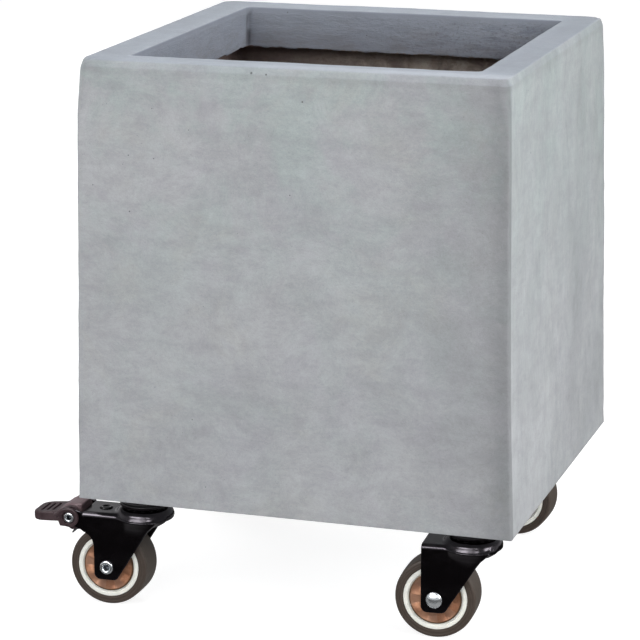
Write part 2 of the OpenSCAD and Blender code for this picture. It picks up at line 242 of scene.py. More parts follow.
def nets(f, lo, hi, h):
    """A clean quad mesh of the surface f = 0, with normals from f."""
    lo, hi = np.array(lo, float), np.array(hi, float)
    n = np.ceil((hi - lo) / h).astype(int) + 1
    ax = [lo[i] + h * np.arange(n[i]) for i in range(3)]
    x, y, z = np.meshgrid(*ax, indexing="ij")
    d = f(x, y, z)
    neg = d < 0
    cells = n - 1
    count = np.zeros(cells, np.int8)
    corners = [(a, b, c) for a in (0, 1) for b in (0, 1) for c in (0, 1)]

    def cut(arr, c):
        return arr[c[0]:c[0] + cells[0], c[1]:c[1] + cells[1], c[2]:c[2] + cells[2]]

    for c in corners:
        count += cut(neg, c)
    act = (count > 0) & (count < 8)
    idx = np.full(cells, -1, np.int64)
    m = int(act.sum())
    idx[act] = np.arange(m)
    base = np.argwhere(act).astype(float)
    dv = {c: cut(d, c)[act] for c in corners}
    acc, cnt = np.zeros((m, 3)), np.zeros(m)
    for c in corners:
        for axis in range(3):
            if c[axis]:
                continue
            e = list(c)
            e[axis] = 1
            da, db = dv[c], dv[tuple(e)]
            cross = (da < 0) != (db < 0)
            t = da[cross] / (da[cross] - db[cross])
            p = np.tile(np.array(c, float), (int(cross.sum()), 1))
            p[:, axis] += t
            acc[cross] += p
            cnt[cross] += 1
    v = lo + (base + acc / cnt[:, None]) * h
    quads = []
    for axis in range(3):
        u, w = (axis + 1) % 3, (axis + 2) % 3
        a = [slice(None)] * 3
        b = [slice(None)] * 3
        a[axis], b[axis] = slice(0, n[axis] - 1), slice(1, n[axis])
        for s in (a, b):
            s[u] = slice(1, n[u] - 1)
            s[w] = slice(1, n[w] - 1)
        na, nb = neg[tuple(a)], neg[tuple(b)]

        def cell(du, dw):
            s = [slice(None)] * 3
            s[axis] = slice(0, n[axis] - 1)
            s[u] = slice(1 + du, n[u] - 1 + du)
            s[w] = slice(1 + dw, n[w] - 1 + dw)
            return idx[tuple(s)]

        q = np.stack([cell(-1, -1), cell(0, -1), cell(0, 0), cell(-1, 0)], -1)
        quads.append(q[na & ~nb])
        quads.append(q[~na & nb][:, ::-1])
    faces = np.vstack(quads)

    def grad(p, e=0.02):
        g = np.zeros_like(p)
        for i in range(3):
            q, r = p.copy(), p.copy()
            q[:, i] += e
            r[:, i] -= e
            g[:, i] = (f(q[:, 0], q[:, 1], q[:, 2]) - f(r[:, 0], r[:, 1], r[:, 2])) / (2 * e)
        return g

    for _ in range(4):
        g = grad(v)
        dist = f(v[:, 0], v[:, 1], v[:, 2])
        step = (dist / np.maximum((g * g).sum(1), 0.25))[:, None] * g
        size = np.linalg.norm(step, axis=1)
        step *= np.minimum(1, 0.35 * h / np.maximum(size, 1e-9))[:, None]
        v = v - step
    g = grad(v, 0.12)
    nrm = g / np.maximum(np.linalg.norm(g, axis=1), 1e-9)[:, None]
    return v, faces, nrm


# --------------------------------------------------------- material helpers
class Mat:
    def __init__(self, name):
        self.m = bpy.data.materials.new(name)
        self.m.use_nodes = True
        self.t = self.m.node_tree
        self.t.nodes.clear()
        self.out = self.t.nodes.new("ShaderNodeOutputMaterial")

    def n(self, kind, ins=None, out=0, **props):
        node = self.t.nodes.new("ShaderNode" + kind)
        for k, v in props.items():
            setattr(node, k, v)
        for k, v in (ins or {}).items():
            s = node.inputs[k]
            if isinstance(v, bpy.types.NodeSocket):
                self.t.links.new(v, s)
            elif v is not None:
                s.default_value = v
        self.last = node
        return node.outputs[out]

    def obj(self):
        return self.n("TexCoord", out="Object")

    def scale(self, vec, s):
        return self.n("VectorMath", {0: vec, 1: s}, operation="MULTIPLY")

    def noise(self, vec, scale=1.0, detail=3.0, rough=0.5, dist=0.0, color=False):
        return self.n("TexNoise", {"Vector": vec, "Scale": scale, "Detail": detail, "Roughness": rough,
                                   "Distortion": dist}, out="Color" if color else "Fac")

    def voronoi(self, vec, scale=1.0, out="Distance", feature="F1", random=1.0):
        return self.n("TexVoronoi", {"Vector": vec, "Scale": scale, "Randomness": random}, out=out,
                      feature=feature)

    def math(self, op, a, b=0.5, c=0.5, clamp=False):
        return self.n("Math", {0: a, 1: b, 2: c}, operation=op, use_clamp=clamp)

    def range(self, v, a, b, c=0.0, d=1.0, smooth=True):
        return self.n("MapRange", {"Value": v, "From Min": a, "From Max": b, "To Min": c, "To Max": d},
                      interpolation_type="SMOOTHSTEP" if smooth else "LINEAR")

    def mix(self, fac, a, b, blend="MIX"):
        node = self.t.nodes.new("ShaderNodeMix")
        node.data_type = "RGBA"
        node.blend_type = blend
        for s, v in ((node.inputs[0], fac), (node.inputs[6], a), (node.inputs[7], b)):
            if isinstance(v, bpy.types.NodeSocket):
                self.t.links.new(v, s)
            else:
                s.default_value = (*v, 1) if hasattr(v, "__len__") and len(v) == 3 else v
        return node.outputs[2]

    def attr(self, name, out="Fac"):
        return self.n("Attribute", out=out, attribute_name=name)

    def bump(self, height, strength=0.3, distance=0.0002, normal=None):
        return self.n("Bump", {"Height": height, "Strength": strength, "Distance": distance,
                               "Normal": normal})

    def finish(self, **ins):
        names = {k.replace("_", " "): v for k, v in ins.items()}
        s = self.n("BsdfPrincipled", {k: ((*v, 1) if hasattr(v, "__len__") and len(v) == 3 and "Color" in k
                                          else v) for k, v in names.items()})
        self.bsdf = self.last
        self.t.links.new(s, self.out.inputs["Surface"])
        return self.m


def srgb(r, g, b):
    def f(c):
        c /= 255.0
        return c / 12.92 if c <= 0.04045 else ((c + 0.055) / 1.055) ** 2.4
    return (f(r), f(g), f(b))


def clay():
    """Cast fibre clay: cloudy grey with a little green and blue, sparse pinholes, brown resin inside."""
    k = Mat("fibre_clay")
    p = k.scale(k.obj(), (1000, 1000, 1000))
    k.n("SeparateXYZ", {0: p})
    node = k.last
    x, y, z = (node.outputs[i] for i in range(3))
    edge, rim, depth, lat = k.attr("edge"), k.attr("rim"), k.attr("depth"), k.attr("lat")
    front = k.range(y, -129.0, -132.0)

    def shifted(v):
        return k.n("VectorMath", {0: p, 1: v}, operation="ADD")

    def blend(a, b, f):
        return k.math("ADD", a, k.math("MULTIPLY", f, k.math("SUBTRACT", b, a)))

    # trowelled mottling at every scale, laid level on the front and upright on the sides
    mot = blend(k.noise(k.scale(p, (0.95, 0.95, 1.10)), 0.030, 7, 0.97, 0.25),
                k.noise(k.scale(p, (1.0, 1.0, 0.50)), 0.034, 7, 0.94, 0.2), lat)
    smudge = blend(k.noise(k.scale(shifted((71, 13, 401)), (0.6, 0.6, 1.0)), 0.055, 6, 0.74, 0.9),
                   k.noise(k.scale(shifted((71, 13, 401)), (1.2, 1.2, 0.42)), 0.055, 6, 0.74, 0.6), lat)
    cloud = k.noise(shifted((5, 88, 19)), 0.013, 3, 0.6, 0.5)
    teal = k.noise(shifted((311, 97, 53)), 0.017, 5, 0.7, 0.4)
    lilac = k.noise(shifted((17, 731, 211)), 0.022, 5, 0.72, 0.4)
    grain = k.noise(p, 1.1, 3, 0.65)
    col = k.mix(k.range(cloud, 0.33, 0.67), (0.334, 0.344, 0.358), (0.366, 0.374, 0.388))
    high = k.math("ADD", k.range(z, 110.0, 262.0, 0.0, 0.40), k.math("MULTIPLY", lat, k.range(z, 40.0, 200.0, 0.0, 0.35)))
    col = k.mix(k.math("MULTIPLY", k.math("ADD", high, 0.22), blend(k.range(teal, 0.40, 0.62), 0.55, k.math("MULTIPLY", lat, 0.7))),
                col, (0.318, 0.374, 0.366))
    calm = k.math("MULTIPLY_ADD", lat, -0.6, 1.0)
    col = k.mix(k.math("MULTIPLY", k.range(lilac, 0.50, 0.66, 0, 0.34), calm), col, (0.356, 0.352, 0.384))
    col = k.mix(k.math("MULTIPLY", k.range(lilac, 0.48, 0.34, 0, 0.28), calm), col, (0.366, 0.370, 0.356))
    amp = k.math("MULTIPLY_ADD", lat, 0.06, 0.94)
    fac = k.math("MULTIPLY_ADD", k.math("MULTIPLY", k.math("SUBTRACT", mot, 0.5), amp), 0.95, 1.0)
    fac = k.math("MULTIPLY", fac, k.range(smudge, 0.56, 0.72, 1.0, 0.90))
    fac = k.math("MULTIPLY", fac, k.range(smudge, 0.46, 0.30, 1.0, 1.055))
    fac = k.math("MULTIPLY", fac, k.range(grain, 0.54, 0.80, 1.0, 0.84))
    fac = k.math("MULTIPLY", fac, k.math("MULTIPLY_ADD", k.math("MULTIPLY", k.math("SUBTRACT", cloud, 0.5), lat), 0.16, 1.0))
    # painted shade: the right end of the front is darker, and the sides darken towards the back
    endf = k.math("MULTIPLY", k.range(x, 20.0, 134.0, 0, 1, smooth=False), front)
    fac = k.math("MULTIPLY", fac, k.math("MULTIPLY_ADD", k.math("MULTIPLY", endf, endf), -0.24, 1.0))
    fac = k.math("MULTIPLY", fac, k.math("MULTIPLY_ADD", k.math("MULTIPLY", k.range(x, 114.0, 130.0), front), -0.17, 1.0))
    # a fine darker line under the chamfer of the rim and along the bottom edge
    line = k.math("MULTIPLY", k.range(z, 263.5, 267.2), k.range(z, 269.6, 268.2))
    line = k.math("ADD", k.math("MULTIPLY", line, 0.075), k.range(z, 3.0, 0.8, 0.0, 0.05))
    fac = k.math("MULTIPLY", fac, k.math("MULTIPLY_ADD", line, -1.0, 1.0))
    # painted shade: the sides darken towards the back
    fac = k.math("MULTIPLY", fac, k.math("MULTIPLY_ADD", k.math("MULTIPLY", lat, k.range(y, -130.0, 120.0, 0, 1, smooth=False)),
                                         -0.15, 1.0))
    col = k.mix(1.0, col, k.n("CombineColor", {0: fac, 1: fac, 2: fac}), blend="MULTIPLY")
    # painted light: the rim is a shade lighter and bluer, as light from above falls on it, with a painted highlight
    # along its front edge towards the right; it is darker along its right and left sides, and the worn edges are
    # lighter and bluer too
    rimc = k.mix(k.math("MULTIPLY", k.range(x, -90.0, 60.0), k.range(y, -118.0, -126.0)), (0.302, 0.332, 0.378),
                 (0.366, 0.396, 0.440))
    rimv = k.range(mot, 0.40, 0.60, 0.94, 1.06)
    rimv = k.math("MULTIPLY", rimv, k.math("MULTIPLY_ADD", k.math("MULTIPLY", k.range(x, 98.0, 118.0), k.range(y, -122.0, -104.0)),
                                           -0.18, 1.0))
    rimv = k.math("MULTIPLY", rimv, k.range(x, -104.0, -122.0, 1.0, 0.91))
    rimc = k.mix(1.0, rimc, k.n("CombineColor", {0: rimv, 1: rimv, 2: rimv}), blend="MULTIPLY")
    col = k.mix(k.math("MULTIPLY", rim, 0.90), col, rimc)
    col = k.mix(k.math("MULTIPLY", edge, k.range(smudge, 0.35, 0.6, 0.55, 0.25)), col, (0.44, 0.45, 0.46))
    # painted shade: the inside of the lip is bluish and darker; grime blotches darken it more towards its lower edge
    grime = k.noise(k.scale(p, (0.05, 0.05, 0.13)), 1.0, 6, 0.70)
    col = k.mix(k.range(depth, -27.2, -25.6, 0.0, 0.90), col, (0.232, 0.256, 0.308))
    col = k.mix(k.math("MULTIPLY", k.range(depth, -27.0, -1.0, 0.25, 1.0), k.range(grime, 0.42, 0.66, 0.0, 0.75)),
                col, (0.195, 0.198, 0.215))
    pit = k.noise(k.scale(p, (0.35, 0.35, 0.55)), 1.0, 5, 0.75)
    col = k.mix(k.math("MULTIPLY", k.math("MULTIPLY", k.range(pit, 0.50, 0.66), k.range(x, -70.0, 95.0, 0.12, 0.72)),
                       k.range(depth, -26.5, -20.0, 0.0, 0.75)), col, (0.085, 0.087, 0.096))
    smear = k.noise(k.scale(shifted((33, 61, 7)), (0.045, 0.045, 0.20)), 1.0, 5, 0.7, 0.8)
    col = k.mix(k.math("MULTIPLY", k.math("MULTIPLY", k.range(smear, 0.46, 0.62), k.range(x, -20.0, 100.0, 0.10, 0.48)),
                       k.range(depth, -26.5, -18.0, 0.0, 1.0)), col, (0.100, 0.110, 0.150))
    # painted shade: a dark line down the inner corners of the lip
    col = k.mix(k.math("MULTIPLY", k.attr("corner_shade"), 0.72), col, (0.034, 0.034, 0.041))
    # painted shade: the back of the lip is darker and more violet towards its lower edge
    col = k.mix(k.math("MULTIPLY", k.math("MULTIPLY", k.range(y, 98.0, 107.0), k.range(depth, -20.0, -2.0, 0.0, 0.28)),
                       k.range(depth, -27.2, -25.6)), col, (0.128, 0.122, 0.148))
    # pinholes: a few round ones, and loose clusters of fine ones
    vor = k.n("TexVoronoi", {"Vector": p, "Scale": 0.13, "Randomness": 1.0}, out="Distance")
    k.n("SeparateColor", {0: k.last.outputs["Color"]})
    size = k.last.outputs[0]
    cluster = k.noise(shifted((57, 211, 17)), 0.020, 2, 0.5)
    lim = k.math("MULTIPLY", k.range(size, 0.45, 1.0, 0.0, 0.075, smooth=False), k.range(cluster, 0.44, 0.60, 0.35, 1.0))
    hole = k.range(k.math("SUBTRACT", lim, vor), 0.0, 0.015)
    # three blowholes near the top of the front
    for hx, hz, hr in ((-24.0, 269.4, 0.62), (-15.0, 268.9, 0.52), (7.0, 254.0, 0.52)):
        dx, dz = k.math("SUBTRACT", x, hx), k.math("SUBTRACT", z, hz)
        dist = k.math("SQRT", k.math("ADD", k.math("MULTIPLY", dx, dx), k.math("MULTIPLY", dz, dz)))
        hole = k.math("MAXIMUM", hole, k.math("MULTIPLY", k.range(dist, hr + 0.25, hr - 0.25), front))
    vor2 = k.n("TexVoronoi", {"Vector": shifted((9, 9, 9)), "Scale": 0.42, "Randomness": 1.0}, out="Distance")
    k.n("SeparateColor", {0: k.last.outputs["Color"]})
    size2 = k.last.outputs[0]
    lim2 = k.math("MULTIPLY", k.range(size2, 0.55, 1.0, 0.0, 0.16, smooth=False), k.range(cluster, 0.47, 0.62))
    fineh = k.range(k.math("SUBTRACT", lim2, vor2), 0.0, 0.05)
    out = k.range(depth, 0.0, 1.0, 1.0, 0.0)
    hole = k.math("MULTIPLY", hole, out)
    fineh = k.math("MULTIPLY", fineh, out)
    col = k.mix(k.math("MULTIPLY", hole, 0.75), col, (0.075, 0.075, 0.08))
    col = k.mix(k.math("MULTIPLY", fineh, 0.58), col, (0.14, 0.14, 0.145))
    # resin below the lip
    fray = k.noise(k.scale(p, (1.0, 1.0, 0.30)), 0.50, 5, 0.75)
    fray2 = k.noise(p, 0.045, 4, 0.65)
    d = k.math("ADD", depth, k.math("MULTIPLY_ADD", fray, 10.0, -5.0))
    d = k.math("ADD", d, k.math("MULTIPLY_ADD", fray2, 8.0, -4.0))
    inside = k.range(d, 0.3, 1.8)
    pale = k.range(x, -115.0, 40.0, 0.10, 1.0)
    rcol = k.mix(k.math("MULTIPLY", k.range(k.noise(p, 0.022, 4, 0.65, 0.6), 0.30, 0.58), pale),
                 (0.110, 0.078, 0.074), (0.360, 0.312, 0.262))
    rcol = k.mix(k.math("MULTIPLY", k.range(k.noise(p, 0.11, 5, 0.7), 0.45, 0.75, 0, 0.7), pale), rcol,
                 (0.43, 0.39, 0.33))
    rcol = k.mix(k.range(k.noise(p, 0.30, 4, 0.7), 0.50, 0.8, 0, 0.6), rcol, (0.140, 0.080, 0.058))
    rcol = k.mix(k.math("MULTIPLY", k.range(d, 0.2, 4.5, 1.0, 0.0), 0.65), rcol, (0.095, 0.046, 0.030))
    col = k.mix(inside, col, rcol)
    rough = k.math("ADD", k.range(mot, 0.35, 0.65, 0.70, 0.86), k.math("MULTIPLY", inside, -0.12))
    # bump: fine sand, soft trowel marks and the pinholes; coarse laid fibre inside
    fine = k.math("MULTIPLY", k.noise(p, 1.6, 3, 0.6), 0.45)
    soft = k.math("MULTIPLY", mot, 1.6)
    h = k.math("ADD", fine, soft)
    h = k.math("SUBTRACT", h, k.math("MULTIPLY", hole, 1.2))
    h = k.math("SUBTRACT", h, k.math("MULTIPLY", fineh, 0.5))
    liprough = k.range(depth, -26, -22, 0.0, 1.0)
    wr = k.noise(k.scale(p, (0.12, 0.12, 0.50)), 1.0, 5, 0.65, 0.8)
    h = k.math("ADD", h, k.math("MULTIPLY", k.math("MULTIPLY", wr, liprough), 2.4))
    h = k.math("ADD", h, k.math("MULTIPLY", k.math("MULTIPLY", k.noise(p, 0.35, 5, 0.75), inside), 3.0))
    nrm = k.bump(h, 0.60, 0.00038)
    return k.finish(Base_Color=col, Roughness=rough, Normal=nrm, IOR=1.5, Specular_IOR_Level=0.30,
                    Diffuse_Roughness=0.4)


def enamel():
    """Gloss black enamel on pressed steel, with a faint orange peel and a little dust."""
    k = Mat("black_enamel")
    p = k.scale(k.obj(), (1000, 1000, 1000))
    peel = k.noise(p, 0.55, 2, 0.5)
    dust = k.noise(p, 0.12, 5, 0.65)
    curvature = k.n("NewGeometry", out="Pointiness")
    col = k.mix(k.range(dust, 0.45, 0.75, 0, 0.6), (0.0010, 0.0006, 0.0008), (0.0022, 0.0014, 0.0019))
    col = k.mix(k.range(curvature, 0.57, 0.70, 0, 0.35), col, (0.030, 0.024, 0.032))
    rough = k.range(dust, 0.35, 0.75, 0.15, 0.24)
    nrm = k.bump(peel, 0.25, 0.00010)
    return k.finish(Base_Color=col, Roughness=rough, Normal=nrm, IOR=1.5, Specular_IOR_Level=0.7,
                    Specular_Tint=(0.97, 0.90, 1.0, 1))


def black_steel():
    k = Mat("black_steel")
    p = k.scale(k.obj(), (1000, 1000, 1000))
    spots = k.noise(p, 0.8, 4, 0.65)
    curvature = k.n("NewGeometry", out="Pointiness")
    col = k.mix(k.range(spots, 0.45, 0.7), (0.004, 0.003, 0.004), (0.009, 0.007, 0.008))
    col = k.mix(k.range(curvature, 0.55, 0.66, 0, 0.35), col, (0.060, 0.042, 0.034))
    rough = k.range(spots, 0.3, 0.7, 0.14, 0.22)
    nrm = k.bump(spots, 0.08, 0.00004)
    return k.finish(Base_Color=col, Roughness=rough, Normal=nrm, IOR=1.5, Specular_IOR_Level=0.6)


def zinc():
    k = Mat("zinc_steel")
    p = k.scale(k.obj(), (1000, 1000, 1000))
    spangle = k.voronoi(p, 0.8, out="Color")
    s = k.n("SeparateColor", {0: spangle})
    turn = k.noise(k.scale(p, (0.6, 0.6, 6.0)), 1.0, 3, 0.6)
    stain = k.noise(p, 0.10, 4, 0.6)
    col = k.mix(k.range(s, 0, 1, 0, 0.5), (0.50, 0.51, 0.54), (0.64, 0.65, 0.66))
    col = k.mix(k.range(stain, 0.52, 0.75, 0, 0.45), col, (0.42, 0.40, 0.36))
    rough = k.range(turn, 0.3, 0.7, 0.28, 0.42)
    nrm = k.bump(k.math("ADD", turn, k.math("MULTIPLY", s, 0.3)), 0.25, 0.00006)
    return k.finish(Base_Color=col, Metallic=1.0, Roughness=rough, Normal=nrm)


def bright():
    """Nickel-plated rivet, dull down in the hollow of its peened end, where painted shade darkens it."""
    k = Mat("bright_rivet")
    p = k.scale(k.obj(), (1000, 1000, 1000))
    scratch = k.noise(k.scale(p, (2.6, 2.6, 0.7)), 1.0, 4, 0.65)
    stain = k.noise(p, 0.35, 3, 0.55)
    hollow = k.attr("hollow")
    col = k.mix(k.range(stain, 0.4, 0.7), (0.76, 0.80, 0.83), (0.86, 0.88, 0.90))
    # painted shade: the hollow of the peened end is darkened
    col = k.mix(hollow, col, (0.100, 0.112, 0.130))
    rough = k.math("ADD", k.range(scratch, 0.35, 0.75, 0.21, 0.28), k.math("MULTIPLY", hollow, 0.15))
    nrm = k.bump(scratch, 0.06, 0.00004)
    return k.finish(Base_Color=col, Metallic=0.9, Roughness=rough, Normal=nrm)


def ball():
    k = Mat("ball_steel")
    p = k.scale(k.obj(), (1000, 1000, 1000))
    g = k.noise(p, 1.2, 3, 0.6)
    col = k.mix(k.range(g, 0.4, 0.7), (0.60, 0.61, 0.62), (0.75, 0.75, 0.74))
    rough = k.range(g, 0.35, 0.7, 0.10, 0.20)
    nrm = k.bump(g, 0.1, 0.00004)
    return k.finish(Base_Color=col, Metallic=1.0, Roughness=rough, Normal=nrm)


def core():
    """Pale moulded nylon, a little yellow where the light passes through at the edges."""
    k = Mat("pale_core")
    p = k.scale(k.obj(), (1000, 1000, 1000))
    flow = k.noise(k.scale(p, (0.25, 0.25, 0.8)), 1.0, 4, 0.55)
    grime = k.noise(p, 0.30, 5, 0.68)
    col = k.mix(k.range(flow, 0.35, 0.7), (0.740, 0.745, 0.690), (0.830, 0.825, 0.765))
    col = k.mix(k.range(grime, 0.55, 0.80, 0, 0.35), col, (0.43, 0.44, 0.41))
    rough = k.range(grime, 0.3, 0.75, 0.30, 0.48)
    nrm = k.bump(k.noise(p, 1.8, 2, 0.5), 0.15, 0.00006)
    return k.finish(Base_Color=col, Roughness=rough, Normal=nrm, IOR=1.5, Specular_IOR_Level=0.45,
                    Subsurface_Weight=0.12, Subsurface_Radius=(0.8, 0.7, 0.5), Subsurface_Scale=0.001)


def tyre():
    """Grey-brown thermoplastic rubber with faint flow bands and scuffs on the tread."""
    k = Mat("tyre_rubber")
    p = k.scale(k.obj(), (1000, 1000, 1000))
    k.n("SeparateXYZ", {0: p})
    sx, sy, sz = (k.last.outputs[i] for i in range(3))
    rad = k.math("SQRT", k.math("ADD", k.math("MULTIPLY", sx, sx), k.math("MULTIPLY", sy, sy)))
    band = k.noise(k.n("CombineXYZ", {0: k.math("MULTIPLY", sz, 0.9), 1: k.math("MULTIPLY", rad, 1.1), 2: 0.0}),
                   1.0, 3, 0.6)
    scuff = k.noise(k.scale(p, (0.35, 0.35, 1.2)), 1.0, 5, 0.7)
    speck = k.noise(p, 2.2, 2, 0.6)
    tread = k.range(rad, 24.2, 24.8)
    col = k.mix(k.range(band, 0.35, 0.7), (0.047, 0.034, 0.026), (0.068, 0.050, 0.040))
    col = k.mix(k.math("MULTIPLY", tread, k.range(scuff, 0.35, 0.7, 0.20, 0.8)), col, (0.088, 0.076, 0.064))
    col = k.mix(k.range(speck, 0.55, 0.8, 0, 0.25), col, (0.12, 0.105, 0.09))
    rough = k.math("ADD", k.range(scuff, 0.3, 0.75, 0.40, 0.58), k.math("MULTIPLY", tread, 0.08))
    h = k.math("ADD", k.math("MULTIPLY", speck, 0.4), k.math("MULTIPLY", scuff, 0.6))
    nrm = k.bump(h, 0.25, 0.00012)
    return k.finish(Base_Color=col, Roughness=rough, Normal=nrm, IOR=1.5, Specular_IOR_Level=0.30)


def copper():
    """Copper-coloured metallic cover, finely turned, so that its shine runs along the radius."""
    k = Mat("copper_cover")
    p = k.scale(k.obj(), (1000, 1000, 1000))
    k.n("SeparateXYZ", {0: p})
    sx, sy = k.last.outputs[0], k.last.outputs[1]
    rad = k.math("SQRT", k.math("ADD", k.math("MULTIPLY", sx, sx), k.math("MULTIPLY", sy, sy)))
    ringz = k.noise(k.n("CombineXYZ", {0: k.math("MULTIPLY", rad, 9.0), 1: 0.0, 2: 0.0}), 1.0, 3, 0.6)
    patina = k.noise(p, 0.16, 4, 0.6)
    fleck = k.noise(p, 3.0, 2, 0.6)
    wedge_sheen = k.attr("wedge_sheen")
    tangent = k.n("Tangent", direction_type="RADIAL", axis="Z")
    col = k.mix(k.range(patina, 0.35, 0.7), (0.375, 0.165, 0.088), (0.500, 0.250, 0.144))
    # painted reflection: each pressed wedge gets its own lighter tint, standing in for the light it catches
    col = k.mix(k.range(wedge_sheen, 0.0, 1.0, 0.0, 0.40, smooth=False), col, (0.640, 0.420, 0.320))
    col = k.mix(k.range(fleck, 0.5, 0.8, 0, 0.35), col, (0.74, 0.50, 0.38))
    # painted shade: the rolled outer edge of the cover darkens towards the groove round it
    col = k.mix(k.range(rad, 14.9, 15.7, 0, 0.9), col, (0.085, 0.052, 0.028))
    rough = k.math("ADD", k.range(patina, 0.3, 0.75, 0.38, 0.48), k.math("MULTIPLY", ringz, 0.06))
    nrm = k.bump(ringz, 0.18, 0.00006)
    return k.finish(Base_Color=col, Metallic=0.75, Roughness=rough, Normal=nrm, Anisotropic=0.4,
                    Tangent=tangent)


def pedal():
    """Dark brown moulded plastic with a fine spark-eroded grain and soft wear on the raised parts, painted shade in its
    hollows and creases and a painted highlight on top of the heel.
    """
    k = Mat("brown_pedal")
    p = k.scale(k.obj(), (1000, 1000, 1000))
    grain = k.noise(p, 2.6, 3, 0.6)
    cloudy = k.noise(p, 0.14, 4, 0.6)
    curvature = k.n("NewGeometry", out="Pointiness")
    col = k.mix(k.range(cloudy, 0.35, 0.7), (0.036, 0.020, 0.023), (0.058, 0.034, 0.038))
    # painted highlight: the top of the heel is painted paler than the cheeks round the pin, where the light falls on it
    k.n("SeparateXYZ", {0: p})
    hx, hy, hz = (k.last.outputs[i] for i in range(3))
    heel = k.math("MULTIPLY", k.range(hx, -55.0, -51.0), k.range(k.math("ABSOLUTE", hy), 11.0, 9.4))
    heel = k.math("MULTIPLY", heel, k.range(hz, -16.0, -12.5))
    col = k.mix(k.math("MULTIPLY", heel, 0.85), col, (0.185, 0.124, 0.134))
    col = k.mix(k.range(curvature, 0.53, 0.64, 0, 0.6), col, (0.15, 0.105, 0.108))
    # painted shade: concave places are darker
    col = k.mix(k.range(curvature, 0.47, 0.38, 0, 0.6), col, (0.018, 0.012, 0.014))
    rough = k.range(cloudy, 0.3, 0.75, 0.38, 0.54)
    nrm = k.bump(grain, 0.22, 0.00010)
    return k.finish(Base_Color=col, Roughness=rough, Normal=nrm, IOR=1.5, Specular_IOR_Level=0.32)


def spring():
    k = Mat("spring_steel")
    p = k.scale(k.obj(), (1000, 1000, 1000))
    roll = k.noise(k.scale(p, (0.25, 3.0, 0.6)), 1.0, 4, 0.6)
    heat = k.noise(p, 0.12, 3, 0.6)
    col = k.mix(k.range(heat, 0.35, 0.7), (0.16, 0.17, 0.20), (0.34, 0.34, 0.35))
    rough = k.range(roll, 0.3, 0.7, 0.24, 0.40)
    nrm = k.bump(roll, 0.2, 0.00006)
    return k.finish(Base_Color=col, Metallic=1.0, Roughness=rough, Normal=nrm)


MATS = {"fibre_clay": clay(), "black_enamel": enamel(), "black_steel": black_steel(), "zinc_steel": zinc(),
        "bright_rivet": bright(), "ball_steel": ball(), "pale_core": core(), "tyre_rubber": tyre(),
        "copper_cover": copper(), "brown_pedal": pedal(), "spring_steel": spring()}


def mark(ob, name, fn):
    """A number on each vertex, from its place in mm."""
    co = np.array([p.co for p in ob.data.vertices]) / MM
    at = ob.data.attributes.new(name, "FLOAT", "POINT")
    at.data.foreach_set("value", np.asarray(fn(co), np.float32))
    return ob


def place(ob, slot, body, node, matrix):
    ob.data.materials.append(MATS[slot])
    ob.matrix_world = matrix
    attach(ob, body)
    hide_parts(node)
    return ob


# --------------------------------------------------------------------- pot
def square_ring(w, r, side=88, corner=8):
    """Points round a square of half width w with round corners, always the same number."""
    pts = []
    for q in range(4):
        a = math.radians(90 * q)
        ca, sa = math.cos(a), math.sin(a)
        us = np.concatenate([[-1, -0.997, -0.984], np.linspace(-0.96, 0.96, side - 5), [0.984, 0.997, 1]])
        line = [(w, (w - r) * u) for u in us]
        line += [(w - r + r * math.cos(t), w - r + r * math.sin(t))
                 for t in (math.pi / 2 * (i + 1) / corner for i in range(corner - 1))]
        pts += [(ca * x - sa * y, sa * x + ca * y) for x, y in line]
    return np.array(pts)


